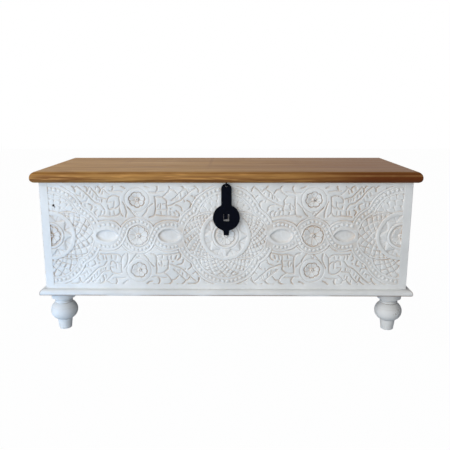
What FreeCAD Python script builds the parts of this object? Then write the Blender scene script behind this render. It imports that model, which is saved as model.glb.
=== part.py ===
import FreeCAD, Part
import math
import os

V = FreeCAD.Vector
X_AXIS = V(1, 0, 0)
Y_AXIS = V(0, 1, 0)
Z_AXIS = V(0, 0, 1)
ORIGIN = V(0, 0, 0)

# case
body_width = 1110.0
body_depth = 410.0
body_height = 331.0
board_thickness = 20.0
post_width = 25.0
post_depth = 40.0
groove_width = 8.0
groove_depth = 8.0
wall_planks = 3
plank_tongue = 6.0
tip_gap = 0.3
dowel_diameter = 10.0
dowel_in_post = 28.0
dowel_in_base = 12.0
fit_gap = 0.05

# carved field of the front board
field_top_margin = 11.0
field_low_margin = 16.0
carve_depth = 5.0
boss_radius = 29.0
star_ring_in = 34.0
star_ring_width = 6.0
star_points = 8
star_reach = 68.0
star_waist = 47.0
outer_ring_radius = 77.0
outer_ring_width = 10.0
side_lobe_offset = 55.0
side_lobe_radius = 73.0
top_lobe_offset = 67.0
top_lobe_radius = 68.0
bead_band = 21.0
rosette_offset = 265.0
rosette_radius = 31.0
rosette_band_gap = 4.0
far_oval_offset = 357.0
near_oval_offset = 169.0
oval_half_length = 35.0
oval_half_height = 19.0
roundel_rise = 110.0
roundel_radius = 37.0
roundel_width = 11.0
roundel_boss = 21.0

# base frame
base_thickness = 18.0
base_overhang = 17.5
base_member = 85.0
base_low_round = 4.0
base_edge_flat = 4.0
crossbar_width = 70.0
crossbar_shoulder = 12.0
crossbar_tenon = 14.0
crossbar_tenon_thickness = 7.0

# floor boards
floor_boards = 3
floor_thickness = 12.0
floor_gap = 1.5
floor_end_gap = 1.0

# turned feet
foot_height = 126.0
foot_inset = 39.0
foot_sole_radius = 19.5
foot_sole_round = 3.0
foot_ankle_radius = 23.5
foot_ankle_height = 34.0
foot_ball_radius = 42.0
foot_ball_height = 55.0
foot_bead_radius = 27.5
foot_bead_height = 6.0
foot_neck_radius = 24.5
foot_cap_radius = 37.0
foot_cap_height = 22.0
foot_tenon_radius = 12.5
foot_tenon_length = 15.0

# lid
lid_overhang = 20.0
lid_thickness = 33.0
lid_low_round = 13.0
lid_edge_flat = 3.0
lid_planks = 4
spline_thickness = 7.0
spline_width = 18.0
spline_stop = 45.0
batten_count = 3
batten_inset = 195.0
batten_width = 46.0
batten_thickness = 16.0
batten_end_clearance = 14.0
batten_sink = 8.0

# hinges
hinge_inset = 215.0
hinge_length = 84.0
hinge_leaf_width = 15.0
hinge_leaf_thickness = 2.2
hinge_knuckle_radius = 4.2
hinge_pin_radius = 2.0
hinge_pin_fit = 0.05
hinge_knuckles = 5
knuckle_gap = 0.2
knuckle_relief = 0.6
hinge_wall_gap = 0.3
hinge_screws = 3

# countersunk wood screws
screw_head_radius = 3.6
screw_shank_radius = 1.8
screw_length = 20.0
slot_width = 1.0
slot_depth = 0.9

# hasp, its eye under the lid and the lock staple
hasp_offset = 3.0
hasp_standoff = 12.5
hasp_thickness = 3.0
hasp_strap_width = 31.0
hasp_disc_radius = 40.0
hasp_disc_drop = 100.0
hasp_tail_drop = 154.0
hasp_tail_top_width = 20.0
hasp_tail_end_width = 16.0
hasp_corner_round = 5.0
hasp_window_width = 16.5
hasp_window_height = 21.5
hasp_edge_over_eye = 4.0
eye_ring_radius = 5.0
eye_wire_radius = 2.0
eye_hole_fit = 0.75
eye_drop = 3.8
eye_shank_length = 22.0
staple_width = 11.5
staple_offset = -1.25
staple_bar = 2.2
staple_height = 15.0
staple_low_reach = 11.6
staple_high_reach = 15.0
staple_rise = 2.0
staple_plate_width = 30.0
staple_plate_height = 44.0
staple_plate_thickness = 2.0
staple_rivet_stand = 1.5

base_low = foot_height
base_top = base_low + base_thickness
body_top = base_top + body_height
lid_top = body_top + lid_thickness
half_width = body_width / 2.0
half_depth = body_depth / 2.0
post_in_x = half_width - post_width
post_in_y = half_depth - post_depth
front_span = body_width - 2.0 * post_width
side_span = body_depth - 2.0 * post_depth
lid_width = body_width + 2.0 * lid_overhang
lid_depth = body_depth + 2.0 * lid_overhang
foot_x = half_width - foot_inset
foot_y = half_depth - foot_inset
hinge_y = half_depth + hinge_wall_gap + hinge_knuckle_radius
pivot_y = -half_depth - hasp_standoff
pivot_z = body_top - eye_drop
hole_z = pivot_z - eye_ring_radius
hole_radius = eye_wire_radius + eye_hole_fit
hasp_top_z = hole_z + hole_radius + hasp_edge_over_eye
disc_z = pivot_z - hasp_disc_drop
tail_z = pivot_z - hasp_tail_drop
staple_x = hasp_offset + staple_offset
field_z = (base_top + field_low_margin + body_top - field_top_margin) / 2.0
nodes = {}


def box(x0, x1, y0, y1, z0, z1):
    return Part.makeBox(x1 - x0, y1 - y0, z1 - z0, V(x0, y0, z0))


def rod(radius, start, direction, length):
    return Part.makeCylinder(radius, length, start, direction)


def prism(points, sweep):
    return Part.Face(Part.makePolygon(points + points[:1])).extrude(sweep)


def cut_all(shape, tools):
    for tool in tools:
        shape = shape.cut(tool)
    return shape


def fuse_all(shapes):
    whole = shapes[0]
    if len(shapes) > 1:
        whole = whole.multiFuse(shapes[1:]).removeSplitter()
    return whole


def mirrored(shape, normal):
    return shape.mirror(ORIGIN, normal)


def keep(name, shape):
    nodes[name] = shape


def edge_arc(at, u, z, reach, rise, start_low):
    k = 1.0 - math.sqrt(0.5)
    low = at(u - reach, z)
    mid = at(u - k * reach, z + k * rise)
    high = at(u, z + rise)
    if start_low:
        return Part.Arc(low, mid, high).toShape()
    return Part.Arc(high, mid, low).toShape()


def slab_profile(at, half, z0, z1, top_round, low_round):
    edges = [
        Part.makeLine(at(low_round - half, z0), at(half - low_round, z0)),
        edge_arc(at, half, z0, low_round, low_round, True),
        Part.makeLine(at(half, z0 + low_round), at(half, z1 - top_round)),
        edge_arc(at, half, z1, top_round, -top_round, False),
        Part.makeLine(at(half - top_round, z1), at(top_round - half, z1)),
        edge_arc(at, -half, z1, -top_round, -top_round, True),
        Part.makeLine(at(-half, z1 - top_round), at(-half, z0 + low_round)),
        edge_arc(at, -half, z0, -low_round, low_round, False),
    ]
    return Part.Face(Part.Wire(edges))


def moulded_slab(width, depth, z0, z1, top_round, low_round):
    across = slab_profile(lambda u, z: V(u, -depth / 2.0, z), width / 2.0, z0, z1, top_round, low_round)
    along = slab_profile(lambda u, z: V(-width / 2.0, u, z), depth / 2.0, z0, z1, top_round, low_round)
    return across.extrude(V(0, depth, 0)).common(along.extrude(V(width, 0, 0)))


def screw(head_center, down):
    cone_height = screw_head_radius - screw_shank_radius
    cone = Part.makeCone(screw_head_radius, screw_shank_radius, cone_height, head_center, down)
    shank_start = head_center + down * cone_height
    shank_length = screw_length - cone_height - 2.0 * screw_shank_radius
    shank = rod(screw_shank_radius, shank_start, down, shank_length)
    tip_start = shank_start + down * shank_length
    tip = Part.makeCone(screw_shank_radius, 0.3, 2.0 * screw_shank_radius, tip_start, down)
    return fuse_all([cone, shank, tip])


def slotted(shape, head_center):
    side = screw_head_radius + 1.0
    half = slot_width / 2.0
    slot = box(-side, side, -half, half, -slot_depth, slot_depth)
    slot.translate(head_center)
    return shape.cut(slot)


def pilot_hole(start, down, depth):
    return rod(screw_shank_radius + fit_gap, start, down, depth + tip_gap)


def screw_seat(head, down):
    cone_height = screw_head_radius - screw_shank_radius
    wide = screw_head_radius + fit_gap
    seat = Part.makeCone(wide, screw_shank_radius + fit_gap, cone_height, head, down)
    return seat.fuse(pilot_hole(head, down, screw_length))


# case walls, drawn along X with the outer face at y = 0
def wall_plank(span, z0, z1, top_tongue, low_groove):
    mid = board_thickness / 2.0
    side = groove_width / 2.0
    reach = span / 2.0 + groove_depth - tip_gap
    solids = [box(-span / 2.0, span / 2.0, 0, board_thickness, z0, z1)]
    solids.append(box(-reach, reach, mid - side, mid + side, z0, z1))
    rib = plank_tongue / 2.0
    if top_tongue:
        solids.append(box(-span / 2.0, span / 2.0, mid - rib, mid + rib, z1, z1 + plank_tongue - tip_gap))
    plank = fuse_all(solids)
    if low_groove:
        far = span
        plank = plank.cut(box(-far, far, mid - rib, mid + rib, z0, z0 + plank_tongue))
    return plank


def wall_planks_of(name, span, turn, shift):
    rise = body_height / wall_planks
    for i in range(wall_planks):
        z0 = base_top + i * rise
        plank = wall_plank(span, z0, z0 + rise, i < wall_planks - 1, i > 0)
        plank.rotate(ORIGIN, Z_AXIS, turn)
        plank.translate(shift)
        keep("%s_plank_%d" % (name, i + 1), plank)


def staple_leg_tools(grow):
    low = disc_z + staple_rise - staple_height / 2.0
    high = low + staple_height
    x0 = staple_x - staple_width / 2.0 - grow
    x1 = staple_x + staple_width / 2.0 + grow
    inner = -half_depth + board_thickness
    end = inner + staple_plate_thickness + staple_rivet_stand
    legs = []
    for z0 in (low, high - staple_bar):
        legs.append(box(x0, x1, -half_depth, end, z0 - grow, z0 + staple_bar + grow))
    return legs


# carved ornament, drawn about the middle of the field with z up
def relief(face):
    face.translate(V(0, -half_depth - 1.0, field_z))
    return face.extrude(V(0, carve_depth + 2.0, 0))


def round_relief(x, z, radius):
    return relief(Part.Face(Part.Wire(Part.makeCircle(radius, V(x, 0, z), Y_AXIS))))


def ring_relief(x, z, radius, width):
    return round_relief(x, z, radius).cut(round_relief(x, z, radius - width))


def oval_relief(x, half_length, half_height):
    face = Part.Face(Part.Wire(Part.Ellipse(ORIGIN, half_length, half_height).toShape()))
    face.rotate(ORIGIN, X_AXIS, 90)
    face.translate(V(x, 0, 0))
    return relief(face)


def petal_relief(x, z, radius, petals):
    petal = 0.3 * radius
    shapes = [round_relief(x, z, radius - petal)]
    for i in range(petals):
        turn = 2.0 * math.pi * i / petals
        reach = radius - petal
        shapes.append(round_relief(x + reach * math.cos(turn), z + reach * math.sin(turn), petal))
    return fuse_all(shapes)


def star_relief():
    points = []
    for i in range(2 * star_points):
        turn = math.pi * i / star_points
        reach = star_reach if i % 2 == 0 else star_waist
        points.append(V(reach * math.cos(turn), 0, reach * math.sin(turn)))
    star = relief(Part.Face(Part.makePolygon(points + points[:1])))
    return star.cut(round_relief(0, 0, star_ring_in + star_ring_width / 2.0))


def lobes_relief(grow):
    shapes = []
    for side in (-1, 1):
        shapes.append(round_relief(side * side_lobe_offset, 0, side_lobe_radius + grow))
        shapes.append(round_relief(0, side * top_lobe_offset, top_lobe_radius + grow))
    return fuse_all(shapes)


def medallion_relief():
    return [
        petal_relief(0, 0, boss_radius, 2 * star_points),
        ring_relief(0, 0, star_ring_in + star_ring_width, star_ring_width),
        star_relief(),
        ring_relief(0, 0, outer_ring_radius, outer_ring_width),
        lobes_relief(bead_band).cut(lobes_relief(0)),
    ]


def leaf_relief(x0, z0, x1, z1, belly):
    mid_x = (x0 + x1) / 2.0
    mid_z = (z0 + z1) / 2.0
    length = math.hypot(x1 - x0, z1 - z0)
    off_x = (z1 - z0) / length * belly
    off_z = (x0 - x1) / length * belly
    edges = [
        Part.Arc(V(x0, 0, z0), V(mid_x + off_x, 0, mid_z + off_z), V(x1, 0, z1)).toShape(),
        Part.Arc(V(x1, 0, z1), V(mid_x - 0.3 * off_x, 0, mid_z - 0.3 * off_z), V(x0, 0, z0)).toShape(),
    ]
    return relief(Part.Face(Part.Wire(edges)))


def spandrel_relief(side, rise):
    # tip and root of each leaf from the middle of its rosette, then how far it bellies out
    far_leaves = [
        (178, 145, 92, 82, 18),
        (146, 148, 62, 95, 16),
        (118, 147, 48, 112, -12),
        (98, 72, 45, 92, 14),
    ]
    near_leaves = [(-90, 86, -186, 146, 18), (-64, 112, -140, 148, -15), (-48, 92, -98, 66, 13)]
    shapes = []
    for x0, z0, x1, z1, belly in far_leaves + near_leaves:
        start = side * (rosette_offset + x0)
        end = side * (rosette_offset + x1)
        shapes.append(leaf_relief(start, rise * z0, end, rise * z1, side * rise * belly))
    return shapes


def raised_ornament():
    shapes = []
    medallion = medallion_relief()
    for x in (-front_span / 2.0, 0, front_span / 2.0):
        for shape in medallion:
            copy = shape.copy()
            copy.translate(V(x, 0, 0))
            shapes.append(copy)
    for side in (-1, 1):
        x = side * rosette_offset
        shapes.append(petal_relief(x, 0, rosette_radius, star_points))
        shapes.append(ring_relief(x, 0, rosette_radius + rosette_band_gap + bead_band, bead_band))
        for offset in (far_oval_offset, near_oval_offset):
            outer = oval_relief(side * offset, oval_half_length + bead_band, oval_half_height + bead_band)
            shapes.append(outer.cut(oval_relief(side * offset, oval_half_length, oval_half_height)))
        for rise in (-1, 1):
            z = rise * roundel_rise
            shapes.append(ring_relief(x, z, roundel_radius, roundel_width))
            shapes.append(petal_relief(x, z, roundel_boss, star_points - 2))
            shapes.extend(spandrel_relief(side, rise))
    return shapes


def front_panel():
    board = wall_plank(front_span, base_top, body_top, False, False)
    board.translate(V(0, -half_depth, 0))
    low = base_top + field_low_margin
    high = body_top - field_top_margin
    field = box(-front_span / 2.0, front_span / 2.0, -half_depth, carve_depth - half_depth, low, high)
    ground = field.cut(raised_ornament())
    return cut_all(board.cut(ground), staple_leg_tools(fit_gap))


def post_dowel(x, y):
    start = V(x, y, base_top - dowel_in_base)
    return rod(dowel_diameter / 2.0, start, Z_AXIS, dowel_in_base + dowel_in_post)


def post_dowel_hole(x, y):
    length = dowel_in_base + dowel_in_post + 2.0 * tip_gap
    start = V(x, y, base_top - dowel_in_base - tip_gap)
    return rod(dowel_diameter / 2.0 + fit_gap, start, Z_AXIS, length)


def corner_signs():
    return [("front_left", -1, -1), ("front_right", 1, -1), ("back_left", -1, 1), ("back_right", 1, 1)]


def dowel_spot(sx, sy):
    return sx * (half_width - post_width / 2.0), sy * (half_depth - post_depth / 2.0)


def corner_post():
    post = box(post_in_x, half_width, post_in_y, half_depth, base_top, body_top)
    front_mid = half_depth - board_thickness / 2.0
    side_mid = half_width - board_thickness / 2.0
    half = groove_width / 2.0
    groove_x = post_in_x + groove_depth
    groove_y = post_in_y + groove_depth
    post = post.cut(box(post_in_x, groove_x, front_mid - half, front_mid + half, base_top, body_top))
    post = post.cut(box(side_mid - half, side_mid + half, post_in_y, groove_y, base_top, body_top))
    x, y = dowel_spot(1, 1)
    return post.cut(post_dowel_hole(x, y))


def build_case():
    keep("front_panel", front_panel())
    wall_planks_of("back", front_span, 180, V(0, half_depth, 0))
    wall_planks_of("left", side_span, -90, V(-half_width, 0, 0))
    wall_planks_of("right", side_span, 90, V(half_width, 0, 0))
    post = corner_post()
    dowels = []
    for name, sx, sy in corner_signs():
        shape = post
        if sx < 0:
            shape = mirrored(shape, X_AXIS)
        if sy < 0:
            shape = mirrored(shape, Y_AXIS)
        keep(name + "_post", shape)
        x, y = dowel_spot(sx, sy)
        dowels.append(post_dowel(x, y))
    keep("post_dowels", Part.makeCompound(dowels))


# base frame, mitred at the corners, with a bar across the middle
def crossbar_tenon_box(sy, extra):
    half = crossbar_width / 2.0 - crossbar_shoulder
    mid = base_low + base_thickness / 2.0
    rise = crossbar_tenon_thickness / 2.0
    inner = half_depth + base_overhang - base_member
    y0, y1 = sorted((sy * inner, sy * (inner + crossbar_tenon + extra)))
    return box(-half, half, y0, y1, mid - rise, mid + rise)


def foot_tenon_hole(x, y):
    return rod(foot_tenon_radius + fit_gap, V(x, y, base_low), Z_AXIS, foot_tenon_length + tip_gap)


def build_base():
    half_x = half_width + base_overhang
    half_y = half_depth + base_overhang
    top_round = base_thickness - base_low_round - base_edge_flat
    slab = moulded_slab(2.0 * half_x, 2.0 * half_y, base_low, base_top, top_round, base_low_round)
    tools = []
    for name, sx, sy in corner_signs():
        tools.append(foot_tenon_hole(sx * foot_x, sy * foot_y))
        x, y = dowel_spot(sx, sy)
        tools.append(post_dowel_hole(x, y))
    for sy in (-1, 1):
        tools.append(crossbar_tenon_box(sy, tip_gap))
    slab = cut_all(slab, tools)
    in_x = half_x - base_member
    in_y = half_y - base_member
    rise = V(0, 0, base_thickness)
    outlines = {
        "front": [V(-half_x, -half_y, base_low), V(half_x, -half_y, base_low),
                  V(in_x, -in_y, base_low), V(-in_x, -in_y, base_low)],
        "back": [V(-half_x, half_y, base_low), V(half_x, half_y, base_low),
                 V(in_x, in_y, base_low), V(-in_x, in_y, base_low)],
        "left": [V(-half_x, -half_y, base_low), V(-half_x, half_y, base_low),
                 V(-in_x, in_y, base_low), V(-in_x, -in_y, base_low)],
        "right": [V(half_x, -half_y, base_low), V(half_x, half_y, base_low),
                  V(in_x, in_y, base_low), V(in_x, -in_y, base_low)],
    }
    for side, outline in outlines.items():
        keep("base_" + side, slab.common(prism(outline, rise)))
    bar = box(-crossbar_width / 2.0, crossbar_width / 2.0, -in_y, in_y, base_low, base_top)
    keep("base_crossbar", fuse_all([bar, crossbar_tenon_box(-1, 0), crossbar_tenon_box(1, 0)]))


def build_floor():
    inner_y = half_depth - board_thickness - floor_gap
    width = (2.0 * inner_y - (floor_boards - 1) * floor_gap) / floor_boards
    reach = post_in_x - floor_end_gap
    for i in range(floor_boards):
        y0 = -inner_y + i * (width + floor_gap)
        board = box(-reach, reach, y0, y0 + width, base_top, base_top + floor_thickness)
        keep("floor_board_%d" % (i + 1), board)


# feet, turned about Z
def foot_profile():
    ball_top = foot_ankle_height + foot_ball_height
    bead_top = ball_top + foot_bead_height
    cap_low = foot_height - foot_cap_height
    ball_mid = foot_ankle_height + foot_ball_height / 2.0
    bead_mid = ball_top + foot_bead_height / 2.0
    k = 1.0 - math.sqrt(0.5)

    def at(r, z):
        return V(r, 0, z)

    tenon_top = foot_height + foot_tenon_length
    cove_r = foot_neck_radius + 0.22 * (foot_cap_radius - foot_neck_radius)
    cove_z = bead_top + 0.6 * (cap_low - bead_top)
    return [
        Part.makeLine(at(0, 0), at(foot_sole_radius - foot_sole_round, 0)),
        Part.Arc(at(foot_sole_radius - foot_sole_round, 0),
                 at(foot_sole_radius - k * foot_sole_round, k * foot_sole_round),
                 at(foot_sole_radius, foot_sole_round)).toShape(),
        Part.makeLine(at(foot_sole_radius, foot_sole_round), at(foot_ankle_radius, foot_ankle_height)),
        Part.Arc(at(foot_ankle_radius, foot_ankle_height), at(foot_ball_radius, ball_mid),
                 at(foot_neck_radius, ball_top)).toShape(),
        Part.Arc(at(foot_neck_radius, ball_top), at(foot_bead_radius, bead_mid),
                 at(foot_neck_radius, bead_top)).toShape(),
        Part.Arc(at(foot_neck_radius, bead_top), at(cove_r, cove_z),
                 at(foot_cap_radius, cap_low)).toShape(),
        Part.makeLine(at(foot_cap_radius, cap_low), at(foot_cap_radius, foot_height)),
        Part.makeLine(at(foot_cap_radius, foot_height), at(foot_tenon_radius, foot_height)),
        Part.makeLine(at(foot_tenon_radius, foot_height), at(foot_tenon_radius, tenon_top)),
        Part.makeLine(at(foot_tenon_radius, tenon_top), at(0, tenon_top)),
        Part.makeLine(at(0, tenon_top), at(0, 0)),
    ]


def build_feet():
    foot = Part.Face(Part.Wire(foot_profile())).revolve(ORIGIN, Z_AXIS, 360)
    for name, sx, sy in corner_signs():
        copy = foot.copy()
        copy.translate(V(sx * foot_x, sy * foot_y, 0))
        keep(name + "_foot", copy)


# lid
def hinge_centers():
    x = half_width - hinge_inset
    return [("left", -x), ("right", x)]


def hinge_screw_spots(x):
    step = hinge_length / hinge_screws
    y = half_depth - hinge_leaf_width / 2.0
    return [(x + (i + 0.5) * step - hinge_length / 2.0, y) for i in range(hinge_screws)]


def batten_centers():
    first = batten_inset - half_width
    step = -2.0 * first / (batten_count - 1)
    return [first + i * step for i in range(batten_count)]


def batten_screw_spots(x):
    step = lid_depth / lid_planks
    reach = half_depth - board_thickness - batten_end_clearance - batten_width / 2.0
    spots = []
    for i in range(lid_planks):
        y = max(-reach, min(reach, (i + 0.5) * step - lid_depth / 2.0))
        spots.append((x, y))
    return spots


def hinge_groove(x):
    radius = hinge_knuckle_radius + knuckle_relief
    start = V(x - hinge_length / 2.0 - knuckle_relief, hinge_y, body_top)
    return rod(radius, start, X_AXIS, hinge_length + 2.0 * knuckle_relief)


def leaf_box(x, z0, z1, grow):
    side = hinge_length / 2.0 + grow
    return box(x - side, x + side, half_depth - hinge_leaf_width - grow, hinge_y, z0, z1)


def eye_shape(grow):
    ring = Part.makeTorus(eye_ring_radius, eye_wire_radius + grow, V(hasp_offset, pivot_y, pivot_z), X_AXIS)
    start = V(hasp_offset, pivot_y, pivot_z + eye_ring_radius)
    shank = rod(eye_wire_radius + grow, start, Z_AXIS, eye_shank_length + grow)
    return fuse_all([ring, shank])


def lid_tools():
    tools = []
    for side, x in hinge_centers():
        tools.append(hinge_groove(x))
        tools.append(leaf_box(x, body_top, body_top + hinge_leaf_thickness, fit_gap))
        for sx, sy in hinge_screw_spots(x):
            tools.append(pilot_hole(V(sx, sy, body_top), Z_AXIS, screw_length))
    for x in batten_centers():
        for sx, sy in batten_screw_spots(x):
            tools.append(pilot_hole(V(sx, sy, body_top), Z_AXIS, screw_length - batten_sink))
    tools.append(eye_shape(fit_gap))
    return tools


def spline_box(y, grow):
    mid = body_top + lid_thickness / 2.0
    reach = lid_width / 2.0 - spline_stop + grow
    side = spline_width / 2.0 + grow
    rise = spline_thickness / 2.0
    return box(-reach, reach, y - side, y + side, mid - rise, mid + rise)


def build_lid():
    top_round = lid_thickness - lid_low_round - lid_edge_flat
    slab = moulded_slab(lid_width, lid_depth, body_top, lid_top, top_round, lid_low_round)
    slab = cut_all(slab, lid_tools())
    step = lid_depth / lid_planks
    seams = [i * step - lid_depth / 2.0 for i in range(1, lid_planks)]
    slab = cut_all(slab, [spline_box(y, tip_gap) for y in seams])
    far = lid_width
    for i in range(lid_planks):
        y0 = i * step - lid_depth / 2.0
        keep("lid_plank_%d" % (i + 1), slab.common(box(-far, far, y0, y0 + step, body_top, lid_top)))
    keep("lid_splines", Part.makeCompound([spline_box(y, 0) for y in seams]))


def build_battens():
    reach = half_depth - board_thickness - batten_end_clearance
    screws = []
    for i, x in enumerate(batten_centers()):
        half = batten_width / 2.0
        batten = box(x - half, x + half, -reach, reach, body_top - batten_thickness, body_top)
        for sx, sy in batten_screw_spots(x):
            head = V(sx, sy, body_top - batten_sink)
            mouth = V(sx, sy, body_top - batten_thickness)
            well = rod(screw_head_radius + fit_gap, mouth, Z_AXIS, batten_thickness - batten_sink)
            batten = cut_all(batten, [well, screw_seat(head, Z_AXIS)])
            screws.append(slotted(screw(head, Z_AXIS), head))
        keep("lid_batten_%d" % (i + 1), batten)
    keep("batten_screws", Part.makeCompound(screws))


# hinges
def knuckle_spans(x):
    step = hinge_length / hinge_knuckles
    spans = []
    for i in range(hinge_knuckles):
        x0 = x - hinge_length / 2.0 + i * step
        spans.append((x0 + knuckle_gap / 2.0, x0 + step - knuckle_gap / 2.0))
    return spans


def hinge_leaf(x, z0, z1, mine, theirs):
    leaf = leaf_box(x, z0, z1, 0)
    spans = knuckle_spans(x)
    clear = hinge_knuckle_radius + knuckle_relief
    solids = [leaf]
    for i in theirs:
        x0, x1 = spans[i]
        start = V(x0 - knuckle_gap, hinge_y, body_top)
        solids[0] = solids[0].cut(rod(clear, start, X_AXIS, x1 - x0 + 2.0 * knuckle_gap))
    for i in mine:
        x0, x1 = spans[i]
        solids.append(rod(hinge_knuckle_radius, V(x0, hinge_y, body_top), X_AXIS, x1 - x0))
    leaf = fuse_all(solids)
    start = V(x - hinge_length, hinge_y, body_top)
    return leaf.cut(rod(hinge_pin_radius + hinge_pin_fit, start, X_AXIS, 2.0 * hinge_length))


def build_hinges():
    low_screws = []
    high_screws = []
    for side, x in hinge_centers():
        odd = [i for i in range(hinge_knuckles) if i % 2]
        even = [i for i in range(hinge_knuckles) if i % 2 == 0]
        low = hinge_leaf(x, body_top - hinge_leaf_thickness, body_top, even, odd)
        high = hinge_leaf(x, body_top, body_top + hinge_leaf_thickness, odd, even)
        for sx, sy in hinge_screw_spots(x):
            head = V(sx, sy, body_top)
            low = low.cut(screw_seat(head, V(0, 0, -1)))
            high = high.cut(screw_seat(head, Z_AXIS))
            low_screws.append(slotted(screw(head, V(0, 0, -1)), head))
            high_screws.append(slotted(screw(head, Z_AXIS), head))
        keep(side + "_hinge_case_leaf", low)
        keep(side + "_hinge_lid_leaf", high)
        pin = rod(hinge_pin_radius, V(x - hinge_length / 2.0, hinge_y, body_top), X_AXIS, hinge_length)
        keep(side + "_hinge_pin", pin)
    keep("case_hinge_screws", Part.makeCompound(low_screws))
    keep("lid_hinge_screws", Part.makeCompound(high_screws))
    top = nodes["back_plank_%d" % wall_planks]
    for side, x in hinge_centers():
        top = top.cut(leaf_box(x, body_top - hinge_leaf_thickness, body_top, fit_gap))
        for sx, sy in hinge_screw_spots(x):
            top = top.cut(pilot_hole(V(sx, sy, body_top), V(0, 0, -1), screw_length))
    keep("back_plank_%d" % wall_planks, top)


# hasp
def hasp_plate():
    y0 = pivot_y - hasp_thickness / 2.0
    deep = V(0, hasp_thickness, 0)
    half = hasp_strap_width / 2.0
    x = hasp_offset
    cap_z = hasp_top_z - half
    strap = box(x - half, x + half, y0, y0 + hasp_thickness, disc_z, cap_z)
    cap = rod(half, V(x, y0, cap_z), Y_AXIS, hasp_thickness)
    disc = rod(hasp_disc_radius, V(x, y0, disc_z), Y_AXIS, hasp_thickness)
    t0 = hasp_tail_top_width / 2.0
    t1 = hasp_tail_end_width / 2.0
    tail = prism([V(x - t0, y0, disc_z), V(x + t0, y0, disc_z),
                  V(x + t1, y0, tail_z), V(x - t1, y0, tail_z)], deep)
    plate = fuse_all([strap, cap, disc, tail])
    inner = []
    for edge in plate.Edges:
        ends = [v.Point for v in edge.Vertexes]
        if len(ends) != 2 or abs(ends[0].y - ends[1].y) < hasp_thickness / 2.0:
            continue
        reach = math.hypot(ends[0].x - x, ends[0].z - disc_z)
        if abs(reach - hasp_disc_radius) < 0.01:
            inner.append(edge)
    plate = plate.makeFillet(hasp_corner_round, inner)
    wide = hasp_window_width / 2.0
    tall = hasp_window_height / 2.0
    plate = plate.cut(box(x - wide, x + wide, y0, y0 + hasp_thickness, disc_z - tall, disc_z + tall))
    return plate.cut(rod(hole_radius, V(x, y0, hole_z), Y_AXIS, hasp_thickness))


def lock_staple():
    x0 = staple_x - staple_width / 2.0
    low = disc_z + staple_rise - staple_height / 2.0
    high = low + staple_height
    wide = V(staple_width, 0, 0)
    face_y = -half_depth

    def outline(inset, back):
        return [V(x0, back, low + inset), V(x0, face_y - staple_low_reach + inset, low + inset),
                V(x0, face_y - staple_high_reach + inset, high - inset), V(x0, back, high - inset)]

    loop = prism(outline(0, face_y), wide).cut(prism(outline(staple_bar, face_y), wide))
    return fuse_all([loop] + staple_leg_tools(0))


def staple_plate():
    y0 = -half_depth + board_thickness
    mid = disc_z + staple_rise
    y1 = y0 + staple_plate_thickness
    half_x = staple_plate_width / 2.0
    half_z = staple_plate_height / 2.0
    plate = box(staple_x - half_x, staple_x + half_x, y0, y1, mid - half_z, mid + half_z)
    return cut_all(plate, staple_leg_tools(fit_gap))


def build_lock():
    keep("hasp_plate", hasp_plate())
    keep("hasp_eye", eye_shape(0))
    keep("lock_staple", lock_staple())
    keep("staple_backplate", staple_plate())


build_case()
build_base()
build_floor()
build_feet()
build_lid()
build_battens()
build_hinges()
build_lock()

os.makedirs("parts", exist_ok=True)
for name, shape in nodes.items():
    shape.exportStep("parts/%s.step" % name)
    print(name, len(shape.Solids), shape.isValid(), round(shape.Volume / 1000.0, 2))
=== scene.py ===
import math

import bmesh
import bpy
import numpy as np
from mathutils import Matrix, Vector


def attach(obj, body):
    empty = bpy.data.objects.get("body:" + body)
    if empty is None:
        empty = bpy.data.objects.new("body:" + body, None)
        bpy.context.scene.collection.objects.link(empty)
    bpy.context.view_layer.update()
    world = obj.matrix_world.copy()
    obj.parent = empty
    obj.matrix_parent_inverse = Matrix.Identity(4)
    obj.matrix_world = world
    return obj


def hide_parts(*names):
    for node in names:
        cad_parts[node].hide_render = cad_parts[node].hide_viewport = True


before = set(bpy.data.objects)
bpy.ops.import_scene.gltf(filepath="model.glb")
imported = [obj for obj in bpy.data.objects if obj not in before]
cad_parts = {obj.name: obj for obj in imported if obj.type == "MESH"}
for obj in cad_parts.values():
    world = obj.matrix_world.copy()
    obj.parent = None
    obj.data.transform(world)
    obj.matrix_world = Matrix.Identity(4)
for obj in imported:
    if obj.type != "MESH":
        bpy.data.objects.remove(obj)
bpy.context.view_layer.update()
scene = bpy.context.scene


# small helpers for node trees and meshes
def fillInputs(tree, node, inputs):
    for key, value in inputs.items():
        if isinstance(value, bpy.types.NodeSocket):
            tree.links.new(value, node.inputs[key])
        else:
            node.inputs[key].default_value = value


def addNode(tree, kind, inputs=None, **settings):
    made = tree.nodes.new(kind)
    for key, value in settings.items():
        setattr(made, key, value)
    fillInputs(tree, made, inputs or {})
    return made


def reckon(tree, operation, first, second=0.0, clamp=False):
    made = addNode(tree, "ShaderNodeMath", {0: first, 1: second}, operation=operation, use_clamp=clamp)
    return made.outputs[0]


def times(tree, first, second, clamp=False):
    return reckon(tree, "MULTIPLY", first, second, clamp)


def gapTo(tree, value, level):
    return reckon(tree, "ABSOLUTE", reckon(tree, "SUBTRACT", value, level))


def blendColour(tree, share, first, second):
    return addNode(tree, "ShaderNodeMix", {0: share, 6: first, 7: second}, data_type="RGBA").outputs[2]


def spread(tree, value, low, high, toLow=0.0, toHigh=1.0):
    made = addNode(tree, "ShaderNodeMapRange", {0: value, 1: low, 2: high, 3: toLow, 4: toHigh},
                   interpolation_type="SMOOTHSTEP")
    return made.outputs[0]


def vectorMath(tree, operation, first, second):
    return addNode(tree, "ShaderNodeVectorMath", {0: first, 1: second}, operation=operation).outputs


def parted(tree, vector):
    return addNode(tree, "ShaderNodeSeparateXYZ", {0: vector}).outputs


def joined(tree, x, y, z):
    return addNode(tree, "ShaderNodeCombineXYZ", {0: x, 1: y, 2: z}).outputs[0]


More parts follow.
